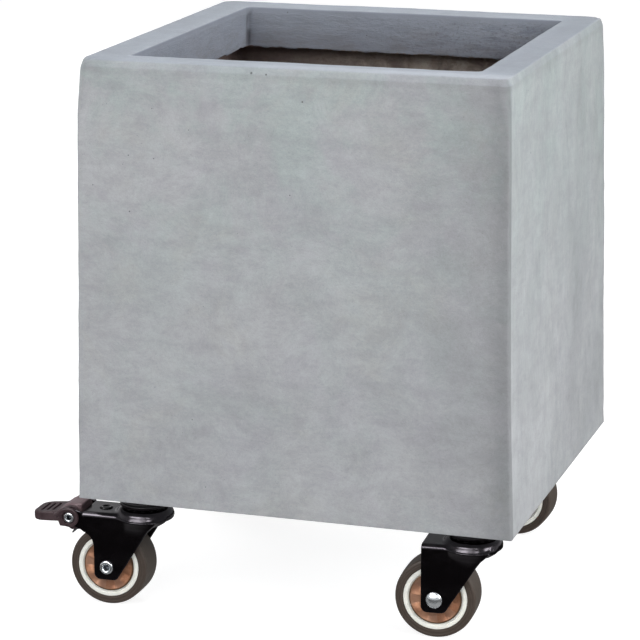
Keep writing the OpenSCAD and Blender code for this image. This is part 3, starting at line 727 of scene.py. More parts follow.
def build_pot():
    prof = []                                   # half width, corner radius, z, tag, depth past the lip's edge
    rb, rm = 0.5, 1.0

    def add(w, r, z, tag, depth=-60.0):
        prof.append((w, r, z, tag, depth))

    def upright(z):
        return 1.6 + 5.2 * float(smoothstep(236, 266, z))

    for i in range(5):
        a = math.pi / 2 * i / 4
        off = rb * (1 - math.sin(a))
        add(135 - off, 1.6 - off * 0.8, rb * (1 - math.cos(a)), "bot")
    for z in np.linspace(rb, 268.3, 93)[1:]:
        add(135, upright(z), z, "out")
    # a narrow hand-rubbed chamfer, then the flat rim
    for w, z in ((134.95, 268.9), (134.80, 269.5), (134.50, 270.4), (134.20, 271.3), (133.95, 272.0),
                 (133.65, 272.45), (133.25, 272.78), (132.75, 272.95), (132.2, 273.0)):
        add(w, upright(z) - (135 - w), z, "top")
    for i, w in enumerate(np.linspace(132.2, 110 + rm, 11)[1:]):
        add(w, 4.0 + (3 + rm - 4.0) * (i + 1) / 10, 273, "rim")
    for i in range(1, 7):
        a = math.pi / 2 * i / 6
        add(110 + rm * (1 - math.sin(a)), 3 + rm * (1 - math.sin(a)), 273 - rm * (1 - math.cos(a)), "mouth",
            -27 + 0.3 * i)
    for z in np.linspace(273 - rm, 247.2, 21)[1:]:
        add(110, 1.3 + 1.7 * float(smoothstep(266, 272, z)), z, "lip", 246 - z)
    for i in range(1, 5):
        a = math.pi / 2 * i / 4
        add(110 + 1.2 * (1 - math.cos(a)), 1.3 + 2.9 * (1 - math.cos(a)), 247.2 - 1.2 * math.sin(a), "edge", 0.5 * i)
    for w in np.linspace(111.2, 122.5, 8)[1:]:
        add(w, 4.2 + 3.8 * (w - 111.2) / 11.3, 246, "under", 2 + w - 111.2)
    for i in range(1, 5):
        a = math.pi / 2 * i / 4
        add(122.5 + 2.5 * math.sin(a), 8, 246 - 2.5 * (1 - math.cos(a)), "under", 14 + i)
    for z in np.linspace(243.5, 20, 66)[1:]:
        add(125, 8, z, "wall", 19 + 243.5 - z)
    for i in range(1, 6):
        a = math.pi / 2 * i / 5
        add(125 - 6 * (1 - math.cos(a)), 8 - 5 * (1 - math.cos(a)), 20 - 6 * math.sin(a), "wall", 240)

    rings = [np.column_stack([square_ring(w, r), np.full(384, z)]) for w, r, z, _, _ in prof]
    per = len(rings[0])
    verts = [r for r in rings]
    tags = sum([[t[3]] * per for t in prof], [])
    depth = sum([[t[4]] * per for t in prof], [])
    faces = []
    for i in range(len(rings) - 1):
        a, b = i * per, (i + 1) * per
        for j in range(per):
            m = (j + 1) % per
            faces.append((a + j, a + m, b + m, b + j))
    verts = list(np.vstack(verts))
    # floor and underside, with the drain hole and the four stem holes
    holes = [(0, 0, 8.0, 40)] + [(sx * INSET, sy * INSET, 4.4, 28) for sx in (-1, 1) for sy in (-1, 1)]
    n_rings = len(rings)

    def cap(ring_index, z, tag, dep, up):
        loop = list(range(ring_index * per, ring_index * per + per))
        pts = [Vector(verts[i][:2]) for i in loop]
        edges = [(i, (i + 1) % per) for i in range(per)]
        owner = list(loop)
        rims = []
        for cx, cy, r, seg in holes:
            s = len(pts)
            pts += [Vector((cx + r * math.cos(2 * math.pi * i / seg), cy + r * math.sin(2 * math.pi * i / seg)))
                    for i in range(seg)]
            edges += [(s + i, s + (i + 1) % seg) for i in range(seg)]
            rims.append((s, seg))
            for rr in (1.2, 3.0):
                pts += [Vector((cx + (r + rr) * math.cos(2 * math.pi * (i + 0.5) / seg),
                                cy + (r + rr) * math.sin(2 * math.pi * (i + 0.5) / seg))) for i in range(seg)]
        w = max(abs(verts[i][0]) for i in loop)
        g = np.arange(-w + 4, w - 3.9, 4.5)
        for gx in g:
            for gy in g:
                if all(math.hypot(gx - c[0], gy - c[1]) > c[2] + 5 for c in holes):
                    pts.append(Vector((gx, gy)))
        v2, _, f2, ov, _, _ = delaunay_2d_cdt(pts, edges, [], 1, 1e-6)
        back = {}
        for i, orig in enumerate(ov):
            mine = [o for o in orig if o < per]
            if mine:
                back[i] = owner[mine[0]]
            else:
                back[i] = len(verts)
                verts.append(np.array([v2[i][0], v2[i][1], z]))
                tags.append(tag)
                depth.append(dep)
        where = {o: i for i, orig in enumerate(ov) for o in orig}
        for f in f2:
            c = sum((v2[i] for i in f), Vector((0, 0))) / len(f)
            if any((c - Vector(h[:2])).length < h[2] * 0.995 for h in holes):
                continue
            p = [v2[i] for i in f]
            area = sum(p[i - 1].x * p[i].y - p[i].x * p[i - 1].y for i in range(len(p)))
            g2 = [back[i] for i in f]
            faces.append(tuple(g2 if (area > 0) == up else g2[::-1]))
        return [[back[where[s + i]] for i in range(seg)] for s, seg in rims]

    low = cap(0, 0.0, "base", -60.0, False)
    high = cap(n_rings - 1, 14.0, "floor", 260.0, True)
    for lo_ring, hi_ring in zip(low, high):
        prev = lo_ring
        for s in range(1, 5):
            if s == 4:
                cur = hi_ring
            else:
                cur = []
                for i, j in zip(lo_ring, hi_ring):
                    cur.append(len(verts))
                    verts.append(verts[i] + (verts[j] - verts[i]) * s / 4)
                    tags.append("hole")
                    depth.append(-60.0 if s < 3 else 100.0)
            for i in range(len(cur)):
                m = (i + 1) % len(cur)
                faces.append((prev[m], prev[i], cur[i], cur[m]))
            prev = cur
    v = np.array(verts, float)
    tags = np.array(tags)
    depth = np.array(depth)

    # outward normals of the smooth shape, then the hand-made unevenness along them
    nrm = np.zeros_like(v)
    for f in faces:
        a, b, c = v[f[0]], v[f[1]], v[f[2]]
        n = np.cross(b - a, c - a)
        if len(f) == 4:
            n = n + np.cross(v[f[2]] - a, v[f[3]] - a)
        for i in f:
            nrm[i] += n
    nrm /= np.maximum(np.linalg.norm(nrm, axis=1), 1e-12)[:, None]
    slow = noise(v, 70, 1) * 0.6 + noise(v, 28, 2) * 0.25
    amp = np.zeros(len(v))
    for tag, a in (("out", 0.22), ("top", 0.25), ("rim", 0.20), ("mouth", 0.35), ("lip", 0.35), ("edge", 0.5),
                   ("under", 0.5), ("wall", 0.9), ("bot", 0.06), ("floor", 0.7)):
        amp[tags == tag] = a
    disp = amp * (slow - 0.5)
    hand = np.isin(tags, ["top", "mouth", "rim"])
    disp += np.where(hand, 0.16 * fbm(v, 14, 2, 5) - 0.05, 0)
    corner = smoothstep(131.4, 133.4, np.minimum(np.abs(v[:, 0]), np.abs(v[:, 1]))) * np.isin(tags, ["out", "top"])
    disp += corner * (0.22 * fbm(v, 9, 3, 31) - 0.06)
    lip = np.isin(tags, ["lip", "mouth"])
    disp += np.where(lip, smoothstep(273, 262, v[:, 2]) * (0.30 * fbm(v, 7.0, 3, 7, (3.2, 3.2, 1.0))), 0)
    rag = np.isin(tags, ["edge"]) | ((tags == "lip") & (v[:, 2] < 250))
    low_w = np.where(tags == "lip", smoothstep(250.5, 247.5, v[:, 2]), 1.0)
    v[:, 2] += np.where(rag, low_w * (0.7 * noise(v, 26, 9) + 0.6 * noise(v, 6.5, 10) + 0.45 * noise(v, 2.6, 11) - 0.3), 0)
    resin = np.isin(tags, ["wall", "under", "floor"])
    disp += np.where(resin, 0.75 * fbm(v, 11, 3, 12) - 0.2, 0)
    v = v + nrm * disp[:, None]
    # the cast draws in a little towards the rim, and the mouth stands slightly off centre
    px0, py0 = v[:, 0].copy(), v[:, 1].copy()
    u, w, g = np.clip(v[:, 0] / 270 + 0.5, 0, 1), np.clip(v[:, 1] / 270 + 0.5, 0, 1), np.clip(v[:, 2] / 273, 0, 1)
    early = np.clip(v[:, 2] / 150, 0, 1)
    early = early * (2 - early)
    lean = (((1 - u) * (1 - w), 2.6, 0.3), (u * (1 - w), -3.1, 0.0), (u * w, -4.8, -4.4), ((1 - u) * w, 4.2, 0.0))
    v[:, 0] += sum(k * dx for k, dx, dy in lean) * g - 2.0 * u * (1 - w) * early
    v[:, 0] -= 1.6 * (1 - u) * (1 - w) * (1 - g)
    v[:, 1] += sum(k * dy for k, dx, dy in lean) * g
    # the underside is relieved along its front edge, more so at the left
    under = smoothstep(-121, -135, py0) * smoothstep(7, 0, v[:, 2])
    v[:, 2] += 2.4 * (1 - u) * under
    off = smoothstep(236, 262, v[:, 2]) * np.isin(tags, ["mouth", "lip", "edge", "under", "wall"])
    off = off + np.where(tags == "rim", smoothstep(131, 113, np.maximum(np.abs(v[:, 0]), np.abs(v[:, 1]))), 0)
    v[:, 0] += 1.3 * off
    v[:, 1] -= 1.8 * off
    # the four top corners are rubbed down a little
    rub = smoothstep(122, 135, np.minimum(np.abs(px0), np.abs(py0)))
    rub = rub * np.sqrt((1 - u) * (1 - w) + 0.16 * u * (1 - w) + 0.28 * u * w + 0.12 * (1 - u) * w)
    rise = smoothstep(257, 273, v[:, 2])
    v[:, 0] -= np.sign(px0) * 1.2 * rub * rise ** 3
    v[:, 2] -= 3.2 * rub ** 2 * rise
    v[:, 1] = np.clip(v[:, 1], -134.99, 134.99)
    v[:, 2] = np.clip(v[:, 2], 0.0, 273.0)
    ob = make("pot_shell_cast", v, faces, sharp=50)
    me = ob.data
    ax, ay = np.abs(px0), np.abs(py0)
    outer = np.isin(tags, ["out", "top", "bot"])
    upr = smoothstep(132.3, 133.7, np.minimum(ax, ay)) * outer * smoothstep(1.5, 6.0, v[:, 2])
    edge = np.clip(upr, 0, 1) * 0.12
    edge = np.maximum(edge, np.where(tags == "mouth", 1.0, 0) * smoothstep(271.6, 272.6, v[:, 2]))
    rim = np.where(tags == "rim", 1.0, np.where(tags == "mouth", 0.8, 0.0))
    rim = np.where(tags == "top", 0.22 + 0.78 * smoothstep(272.2, 272.9, v[:, 2]), rim)
    lat = np.clip((np.abs(nrm[:, 0]) - 0.5) * 2.5, 0, 1) * outer
    # painted shade: a dark line down the inner corners of the lip, fading out towards the rim
    corner_shade = smoothstep(106.2, 108.6, np.minimum(ax, ay)) * np.isin(tags, ["lip", "edge"]) \
        * smoothstep(272, 268, v[:, 2]) * np.clip(0.55 + 0.9 * noise(v, 5, 44), 0.15, 1)
    for name, val in (("edge", edge), ("rim", rim), ("depth", depth), ("lat", lat), ("corner_shade", corner_shade)):
        at = me.attributes.new(name, "FLOAT", "POINT")
        at.data.foreach_set("value", np.asarray(val, np.float32))
    place(ob, "fibre_clay", "planter", "pot_shell", Matrix.Translation((POT_X * MM, 0, CASTER_H * MM)))


build_pot()


# ------------------------------------------------------------------- fork
def fork_shape(braked):
    x0, x1, zb = -29.2, -12.9, -54.7
    foot = arc(x0 + 4, zb + 4, 4, 180, 270, 7) + arc(x1 - 4, zb + 4, 4, 270, 333, 6)
    front = [(4.3, -24.5), (7.5, -20), (12.5, -15), (12.5, -8)]
    if braked:
        left = [(-36.6, -8), (-36.6, -24.25), (-34.4, -25.4), (-31.9, -27.3), (-30.2, -29.9), (-29.35, -33.2)]
    else:
        left = [(x0, -8)]
    outline = left + foot + front
    arm = [(-34.6, -17), (-34.6, -25.3), (-38.2, -23.4)] + arc(PIVOT[0], PIVOT[1], 5.5, -75, -265, 18) \
        + [(-37.6, -12.0), (-36.6, -13.4)]
    flare_out = [(-13, -14), (-13, -16.5), (-3, -21.2), (6.6, -21.2), (10.5, -19), (15.2, -16.4), (15.2, -14)]

    def f(x, y, z):
        ay = np.abs(y)
        rho = np.hypot(x, y)
        # the front part of each leg is drawn out a little towards the crown
        t = np.clip((x + 12.5) / 10.0, 0, 1)
        draw = 1.5 * (1 - (1 - t) ** 2) * np.clip((z + 57.0) / 36.0, 0, 1)
        bulge = np.clip(1 - (x / 15.5) ** 2, 0, 1) ** 1.6 * np.clip((z + 27.5) / 12.5, 0, 1) ** 1.7 * 4.0
        yy = ay - (draw + bulge) * smoothstep(-12.8, -14.6, z)
        # bent sheet: legs and roof, 2 mm thick all round the bend
        shell = np.abs(rbox2(yy, z + 53, 12.7, 40.0, 2.1)) - 1.0
        shell = np.where(z < -80, 1e3, shell)
        body = both(poly2(x, z, outline), shell, 0.42)
        # room in the roof for the crown
        roof_hole = rho - 16.2
        body = np.where(z > -14.6, smax(body, -roof_hole, 0.6), body)
        top = seg2(rho, z, (0, -9.85), (13.2, -9.85))
        quarter = np.where((rho >= 13.2) & (z >= -13.5), np.abs(np.hypot(rho - 13.2, z + 13.5) - 3.65), 1e3)
        skirt = seg2(rho, z, (16.85, -13.5), (16.85, -14.5))
        crown = np.minimum(np.minimum(top, quarter), skirt) - 1.15
        body = smin(body, crown, 1.5)
        cone = seg2(rho, z, (16.85, -14.4), (15.2, -17.4)) - 1.0
        side = np.maximum(poly2(x, z, flare_out), 9.0 - ay)
        body = smin(body, both(cone, side, 0.5), 3.0)
        if braked:
            plate = both(poly2(x, z, arm), np.abs(ay - 12.7) - 1.0, 0.42)
            body = smin(body, plate, 0.5)
            body = np.maximum(body, 2.54 - np.hypot(x - PIVOT[0], z - PIVOT[1]))
            body = np.maximum(body, np.where(z > -20, 2.04 - np.hypot(x + 25.5, y), -1e3))
        body = np.maximum(body, 5.08 - rho)
        for r, zc in ((11.0, -7.6), (8.0, -12.1)):
            body = np.maximum(body, 1.7 - np.hypot(rho - r, z - zc))
        body = np.maximum(body, 3.05 - np.hypot(x - AXLE[0], z - AXLE[2]))
        return body

    lo = (-51.5 if braked else -30.5, -19.5, -56.0)
    return nets(f, lo, (19.5, 19.5, -7.0), 0.5)


# ------------------------------------------------------------------ pedal
def pedal_shape():
    tab_prof = [(-24.5, -4.9), (-8.4, -4.2), (-5.2, -0.2), (-8.4, 2.2), (-24.5, 0.7)]
    heel = [(-9, 0), (-9.6, 1.8), (-8.4, 2.6), (-7.1, 3.9), (-5.4, 5.5), (-3.6, 6.5), (-1.4, 7.1), (1.5, 7.5),
            (4.5, 7.8), (6.2, 7.6), (6.8, 7.1), (6.0, 5.5), (6.0, 0), (0, -4)]
    web = [(-10, 0.2), (-10, 1.9), (-8.8, 2.2), (-7.2, 3.6), (-5.4, 4.9), (-3.8, 5.6), (-1.5, 6.15), (0.4, 6.15),
           (0.4, 0), (-5, 0)]
    lug = [(-8, -1), (-6, -5.8), (-1.6, -5.9), (0, 0), (-5, 2)]
    y_hub, c_in, c_out = 11.35, 13.95, 15.8

    def f(x, y, z):
        u, w, ay = x - PIVOT[0], z - PIVOT[1], np.abs(y)
        prof = np.minimum(poly2(u, w, tab_prof), disc2(u, w, (-24.5, -2.1), 2.8))
        plan = rbox2(u + 14.2, y, 12.5, 11.75, 8.0)
        tab = smax(prof, plan, 1.1)
        groove = 1e3
        for gu in (-20.8, -17.1, -13.4):
            g = rbox2(u - gu, y, 0.8, 7.6, 0.7)
            groove = np.minimum(groove, smax(g, 0.95 + 1.5 * (gu + 8.4) / 16.1 - w, 0.5))
        tab = smax(tab, -groove, 0.35)
        big = both(poly2(u, w, heel), ay - 9.0, 1.3)
        shell = np.minimum(disc2(u, w, (0, 0), 6.2), np.minimum(poly2(u, w, web), poly2(u, w, lug)))
        shell = both(shell, ay - c_out, 1.1)
        body = smin(big, shell, 1.3)
        body = smin(body, tab, 0.9)
        hub = np.minimum(disc2(u, w, (0, 0), 6.6), disc2(u, w, (0.8, -5.4), 3.3))
        body = smin(body, both(hub, ay - y_hub, 0.4), 0.6)
        slot = np.minimum(disc2(u, w, (0, 0), 5.9), np.maximum(0.4 - u, np.abs(w) - 10))
        slot = np.maximum(slot, np.abs(ay - (y_hub + c_in) / 2) - (c_in - y_hub) / 2)
        body = smax(body, -slot, 0.35)
        body = np.maximum(body, -np.maximum(disc2(u, w, (0, 0), 4.25), c_out - 1.1 - ay))
        return np.maximum(body, 2.56 - np.hypot(u, w))

    lo = (PIVOT[0] - 27.6, -16.6, PIVOT[1] - 9.4)
    return nets(f, lo, (PIVOT[0] + 8.0, 16.6, PIVOT[1] + 8.8), 0.42)


# -------------------------------------------------------- hexes and threads
def hex2(px, py, af):
    c, s = abs(math.cos(math.radians(60))), math.sin(math.radians(60))
    x, y = np.abs(px), np.abs(py)
    return np.maximum(y, x * s + y * c) - af / 2


def hex3(x, y, z, af, z0, z1):
    """Chamfered hexagon from z0 to z1, flats facing +-Y."""
    rho = np.hypot(x, y)
    h = both(hex2(x, y, af), np.abs(z - (z0 + z1) / 2) - (z1 - z0) / 2, 0.15)
    cone = (rho - (af / 2 + 0.35)) * 0.5 + (np.abs(z - (z0 + z1) / 2) - (z1 - z0) / 2) * 0.866
    return smax(h, cone, 0.15)


def thread(x, y, z, r, pitch=1.25, depth=0.62):
    rho = np.hypot(x, y)
    ph = (z / pitch - np.arctan2(y, x) / (2 * math.pi)) % 1.0
    tri = np.abs(ph - 0.5) * 2
    return (rho - (r - depth * smoothstep(0.08, 0.92, tri))) * 0.8


def stem_shape():
    def f(x, y, z):
        rho = np.hypot(x, y)
        bolt = np.maximum(thread(x, y, z, 4.0), np.maximum(z - 24.5, -0.5 - z))
        bolt = smax(bolt, (rho - 3.2 + (z - 24.4)) * 0.707, 0.2)
        plain = both(rho - 3.9, np.abs(z - 0.4) - 1.4, 0.1)
        collar = hex3(x, y, z, 14.0, -3.0, 0.0)
        pin = np.maximum(rho - 5.0, np.abs(z + 8.5) - 7.2)
        head = both(rho - 7.0, np.abs(z + 15.95) - 0.95, 0.6)
        return np.minimum(np.minimum(np.minimum(bolt, plain), collar), smin(pin, head, 0.5))

    return nets(f, (-8.9, -8.9, -17.6), (8.9, 8.9, 25.2), 0.36)


def nut_shape():
    def f(x, y, z):
        body = hex3(x, y, z, 13.0, 15.6, 22.1)
        rho = np.hypot(x, y)
        bore = np.maximum(-(rho - 4.04), -1e3)
        sink = 4.45 - rho + np.maximum(0, np.minimum(z - 15.6, 22.1 - z)) * 0.9
        return np.maximum(np.maximum(body, bore), np.minimum(sink, 4.45 - rho + 0.4))

    return nets(f, (-8.2, -8.2, 14.9), (8.2, 8.2, 22.9), 0.36)


def leaf_shape():
    path = [(-18.3, -14.55), (-29.4, -14.55), (-35.8, -25.1), (-43.8, -25.6), (-46.4, -28.6)]

    def f(x, y, z):
        d = 1e3
        for a, b in zip(path, path[1:]):
            d = np.minimum(d, seg2(x, z, a, b))
        d = d - 0.5
        d = np.maximum(d, x + 18.3)
        ends = rbox2(x + 32.6, y, 14.3, 6.0, 2.0)
        d = both(d, ends, 0.15)
        return np.maximum(d, np.where(z > -20, 2.04 - np.hypot(x + 25.5, y), -1e3))

    return nets(f, (-48.4, -7, -30.2), (-16, 7, -13.2), 0.34)


# --------------------------------------------------------- turned profiles
def tyre_profile():
    pts = [(19.7, -10.3), (20.6, -10.5), (22.2, -10.5), (22.4, -10.38), (22.7, -10.38), (22.9, -10.5)]
    pts += [(23.05, -10.5)] + arc(22.85, -8.5, 2.0, -78, -10, 8)
    pts += [(24.90, -6.6), (24.97, -3.6), (25.0, -1.0), (25.0, 0.0), (25.0, 1.0), (24.97, 3.6), (24.90, 6.6)]
    pts += arc(22.85, 8.5, 2.0, 10, 78, 8) + [(23.05, 10.5)]
    pts += [(22.9, 10.5), (22.7, 10.38), (22.4, 10.38), (22.2, 10.5), (20.6, 10.5), (19.7, 10.3)]
    pts += [(19.7, 5.0), (19.7, -5.0)]
    return pts


def core_profile():
    # rim, web behind the covers and hub
    pts = [(19.7, -10.0), (19.4, -10.3), (17.3, -10.3), (16.8, -9.8), (16.7, -9.2), (14.5, -9.2), (14.5, -3.0),
           (8.5, -3.0), (8.5, -9.2), (4.07, -9.2), (4.07, -10.3 + 1.1), (4.07, 9.2), (8.5, 9.2), (8.5, 3.0), (14.5, 3.0),
           (14.5, 9.2), (16.7, 9.2), (16.8, 9.8), (17.3, 10.3), (19.4, 10.3), (19.7, 10.0)]
    pts = [p for i, p in enumerate(pts) if math.dist(p, pts[i - 1]) > 1e-6]
    return fillet(pts, 0.25, 3)


def cover_mesh(sectors=14, sub=8, rise=1.15):
    """Dished cover with shallow flat wedges pressed into it, on the +z side."""
    seg = sectors * sub
    prof = [(5.4, 9.25), (16.25, 9.25), (16.25, 9.6), (16.05, 9.9), (15.7, 10.08), (15.3, 10.12), (14.9, 10.06),
            (14.2, 9.98), (13.2, 9.92), (12.0, 9.86), (11.0, 9.84), (9.6, 9.98), (8.2, 10.20), (7.2, 10.42),
            (6.6, 10.5), (5.8, 10.5), (5.4, 10.3)]
    amp = {14.9: 0.10, 14.2: 0.35, 13.2: 0.75, 12.0: 1.0, 11.0: 0.95, 9.6: 0.65, 8.2: 0.3}
    verts, faces = [], []
    for r, z in prof:
        for s in range(seg):
            a = 2 * math.pi * s / seg
            t = (s % sub) / sub
            k = s // sub
            tri = t if k % 2 == 0 else 1 - t
            dz = (tri - 0.5) * rise * amp.get(r, 0)
            verts.append((r * math.cos(a), r * math.sin(a), min(z + dz, 10.5)))
    n = len(prof)
    for i in range(n):
        for s in range(seg):
            m = (s + 1) % seg
            a, b = i * seg, ((i + 1) % n) * seg
            faces.append((a + s, a + m, b + m, b + s))
    v = np.array(verts)
    area = sum(p[0] * q[1] - q[0] * p[1] for p, q in zip(prof, prof[1:] + prof[:1]))
    if area < 0:
        faces = [f[::-1] for f in faces]
    w = v * (1, -1, -1)
    return join([(v, faces), (w, faces)])


def rivet_profile():
    """Domed head at +z, hollow peened end at -z."""
    out = 13.7
    h, r = 2.3, 6.48
    pts = [(0, out + h)]
    c = out + h - r
    edge = math.degrees(math.acos(4.75 / r))
    pts += [(r * math.cos(math.radians(a)), c + r * math.sin(math.radians(a))) for a in np.linspace(86, edge, 14)]
    pts += [(4.93, out + 0.28), (4.95, out + 0.12), (4.85, out + 0.03), (3.0, out + 0.03), (3.0, -out + 0.0)]
    pts += [(4.05, -out - 0.02), (4.28, -out - 0.25)]
    pts += [(3.2 + 1.1 * math.cos(t), -out - 0.42 - 0.98 * math.sin(t)) for t in np.linspace(0.1, math.pi - 0.1, 14)]
    pts += [(2.1, -out - 0.3), (2.1, -out + 2.4), (1.6, -out + 2.9), (0, -out + 3.0)]
    return pts


def pin_profile():
    seat, r = 14.95, 3.2
    def end(s):
        e = [(2.5, s * (seat - 0.02)), (3.0, s * seat), (3.2, s * (seat + 0.15)), (3.18, s * (seat + 0.5))]
        e += [(2.4 + 0.72 * math.cos(t), s * (seat + 0.52 + 0.56 * math.sin(t))) for t in
              np.linspace(0.25, math.pi - 0.25, 10)]
        e += [(1.62, s * (seat + 0.3)), (1.5, s * (seat - 0.6)), (1.5, s * (seat - 2.6)), (1.1, s * (seat - 2.95)),
              (0, s * (seat - 3.0))]
        return e
    a = end(1)
    b = end(-1)
    return a[::-1] + b


def leaf_rivet_profile():
    roof = -12.0
    pts = [(2.0, roof - 2.1), (2.0, roof), (2.0, roof + 0.03), (4.15, roof + 0.03), (4.2, roof + 0.25),
           (3.95, roof + 0.62), (3.55, roof + 0.82), (3.1, roof + 0.84), (2.5, roof + 0.76), (1.95, roof + 0.5),
           (1.7, roof + 0.15), (1.6, roof + 0.1), (0, roof + 0.06), (0, roof - 4.1), (2.5, roof - 4.1), (2.9, roof - 3.8),
           (2.9, roof - 3.15), (2.0, roof - 3.15)]
    return pts


def upper_race_profile():
    ball_track = [(11 + 1.7 * math.cos(t), -7.6 + 1.7 * math.sin(t)) for t in np.linspace(0.65, math.pi - 0.65, 12)]
    pts = [(5.04, -6.5), (5.04, -3.0), (12.6, -3.0), (13.3, -3.15), (13.75, -3.55), (13.95, -4.1), (14.0, -4.7),
           (14.15, -4.95), (14.5, -5.05), (14.95, -5.2), (15.25, -5.55), (15.4, -6.1), (15.4, -6.6), (15.3, -7.1),
           (15.0, -7.45), (14.6, -7.6), (14.0, -7.6), (13.6, -7.3), (13.6, -6.7), (13.3, -6.5)] + ball_track \
        + [(8.7, -6.5)]
    return pts


def lower_race_profile():
    ball_track = [(8 + 1.7 * math.cos(t), -12.1 + 1.7 * math.sin(t)) for t in
                  np.linspace(-0.64, -math.pi + 0.64, 12)]
    pts = [(5.04, -15.0), (10.5, -15.0), (11.0, -14.6), (11.0, -13.5), (10.7, -13.1)] + ball_track + [(5.04, -13.1)]
    return pts


def washer_profile():
    return fillet([(4.2, 14.0), (10.0, 14.0), (10.0, 15.6), (4.2, 15.6)], [0.15, 0.2, 0.45, 0.25], 4)


FORK = {b: fork_shape(b) for b in (True, False)}
PEDAL = pedal_shape()
STEM = stem_shape()
NUT = nut_shape()
LEAF = leaf_shape()
TYRE = lathe(tyre_profile(), 144)
CORE = lathe(core_profile(), 120)
COVER = cover_mesh()
# painted reflection: a lighter tint from 0 to 1 for each pressed wedge of the covers
ang = np.degrees(np.arctan2(COVER[0][:, 1], COVER[0][:, 0])) % 360
WEDGE_SHEEN = np.asarray((np.floor(ang / (360 / 14) + 1e-6) * 0.618) % 1.0, np.float32)
RIVET = lathe(rivet_profile(), 64)
PIN = lathe(pin_profile(), 56)
LEAF_RIVET = lathe(leaf_rivet_profile(), 56)
UPPER = lathe(upper_race_profile(), 96)
LOWER = lathe(lower_race_profile(), 72)


def corner_matrix(c, turned=True):
    sx, sy = SIGN[c]
    m = Matrix.Translation(((POT_X + sx * INSET) * MM, sy * INSET * MM, CASTER_H * MM))
    return m @ Matrix.Rotation(math.radians(TURN[c]), 4, "Z") if turned else m


wheel_local = Matrix.Translation([a * MM for a in AXLE]) @ Matrix.Rotation(math.radians(-90), 4, "X")
flip = Matrix.Rotation(math.radians(180), 4, "X")
spin = {"front_left": 23, "front_right": 8, "rear_left": 51, "rear_right": 77}
for c in TURN:
    m = corner_matrix(c)
    braked = c in BRAKED
    v, f, n = FORK[braked]
    place(make(f"{c}_fork_pressed", v, f, n), "black_enamel", f"{c}_swivel", f"{c}_fork", m)
    v, f, n = STEM
    place(make(f"{c}_stem_threaded", v, f, n), "zinc_steel", "planter", f"{c}_stem", m)
    place(make(f"{c}_upper_race_turned", *UPPER, sharp=40), "black_steel", "planter", f"{c}_upper_race", m)
    place(make(f"{c}_lower_race_turned", *LOWER, sharp=40), "zinc_steel", "planter", f"{c}_lower_race", m)
    w = m @ wheel_local
    dome = 1 if c in ("front_left", "rear_right") else -1
    # the hollow mask marks where the rivet's peened end gets painted shade
    rivet = mark(make(f"{c}_axle_rivet_headed", *RIVET, sharp=50), "hollow",
                 lambda q: (np.hypot(q[:, 0], q[:, 1]) < 2.2) & (q[:, 2] < -10.5) & (q[:, 2] > -13.9))
    place(rivet, "bright_rivet", f"{c}_swivel", f"{c}_axle_rivet", w if dome > 0 else w @ flip)
    place(make(f"{c}_tyre_moulded", *TYRE, sharp=45), "tyre_rubber", f"{c}_wheel", f"{c}_tyre", w)
    place(make(f"{c}_wheel_core_moulded", *CORE, sharp=35), "pale_core", f"{c}_wheel", f"{c}_wheel_core", w)
    a = math.radians(spin[c])
    rot = np.array([[math.cos(a), -math.sin(a), 0], [math.sin(a), math.cos(a), 0], [0, 0, 1]])
    cover = make(f"{c}_wheel_covers_pressed", COVER[0] @ rot.T, COVER[1], sharp=3.2)
    at = cover.data.attributes.new("wedge_sheen", "FLOAT", "POINT")
    at.data.foreach_set("value", WEDGE_SHEEN)
    place(cover, "copper_cover", f"{c}_wheel", f"{c}_wheel_covers", w)
    if braked:
        v, f, n = PEDAL
        place(make(f"{c}_brake_pedal_moulded", v, f, n), "brown_pedal", f"{c}_brake", f"{c}_brake_pedal", m)
        pv = m @ Matrix.Translation((PIVOT[0] * MM, 0, PIVOT[1] * MM)) @ Matrix.Rotation(math.radians(-90), 4, "X")
        # the hollow mask marks where the pin's end gets painted shade
        pin = mark(make(f"{c}_brake_pin_headed", *PIN, sharp=50), "hollow",
                   lambda q: (np.hypot(q[:, 0], q[:, 1]) < 1.6) & (np.abs(q[:, 2]) < 14.8))
        place(pin, "bright_rivet", f"{c}_swivel", f"{c}_brake_pin", pv)
        v, f, n = LEAF
        place(make(f"{c}_brake_leaf_bent", v, f, n), "spring_steel", f"{c}_swivel", f"{c}_brake_leaf", m)
        lr = m @ Matrix.Translation((-25.5 * MM, 0, 0))
        place(make(f"{c}_leaf_rivet_headed", *LEAF_RIVET, sharp=50), "black_steel", f"{c}_swivel",
              f"{c}_leaf_rivet", lr)

parts, nuts, base = [], [], Matrix.Translation((POT_X * MM, 0, CASTER_H * MM))
nv, nf, nn = NUT
all_v, all_f, all_n = [], [], []
for i, (sx, sy) in enumerate(((-1, -1), (1, -1), (-1, 1), (1, 1))):
    v, f = lathe(washer_profile(), 64)
    parts.append((v + (sx * INSET, sy * INSET, 0), f))
    a = math.radians(13 + 37 * i)
    rot = np.array([[math.cos(a), -math.sin(a), 0], [math.sin(a), math.cos(a), 0], [0, 0, 1]])
    all_f.append(nf + len(nv) * i)
    all_v.append(nv @ rot.T + (sx * INSET, sy * INSET, 0))
    all_n.append(nn @ rot.T)
place(make("stem_washers_stamped", *join(parts), sharp=40), "zinc_steel", "planter", "stem_washers", base)
place(make("stem_nuts_hex", np.vstack(all_v), np.vstack(all_f), np.vstack(all_n)), "zinc_steel", "planter",
      "stem_nuts", base)

# the CAD pieces that stay as they are
for name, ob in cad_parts.items():
    if name.endswith("_bearing_balls"):
        slot = "ball_steel"
    elif name.endswith("_axle_bush"):
        slot = "zinc_steel"
    else:
        continue
    for s in ob.material_slots:
        s.material = MATS[slot]

# ------------------------------------------------------------------- stage
floor_mesh = bpy.data.meshes.new("floor")
floor_mesh.from_pydata([(-8, -8, 0), (8, -8, 0), (8, 8, 0), (-8, 8, 0)], [], [(0, 1, 2, 3)])
floor = bpy.data.objects.new("floor", floor_mesh)
bpy.context.scene.collection.objects.link(floor)
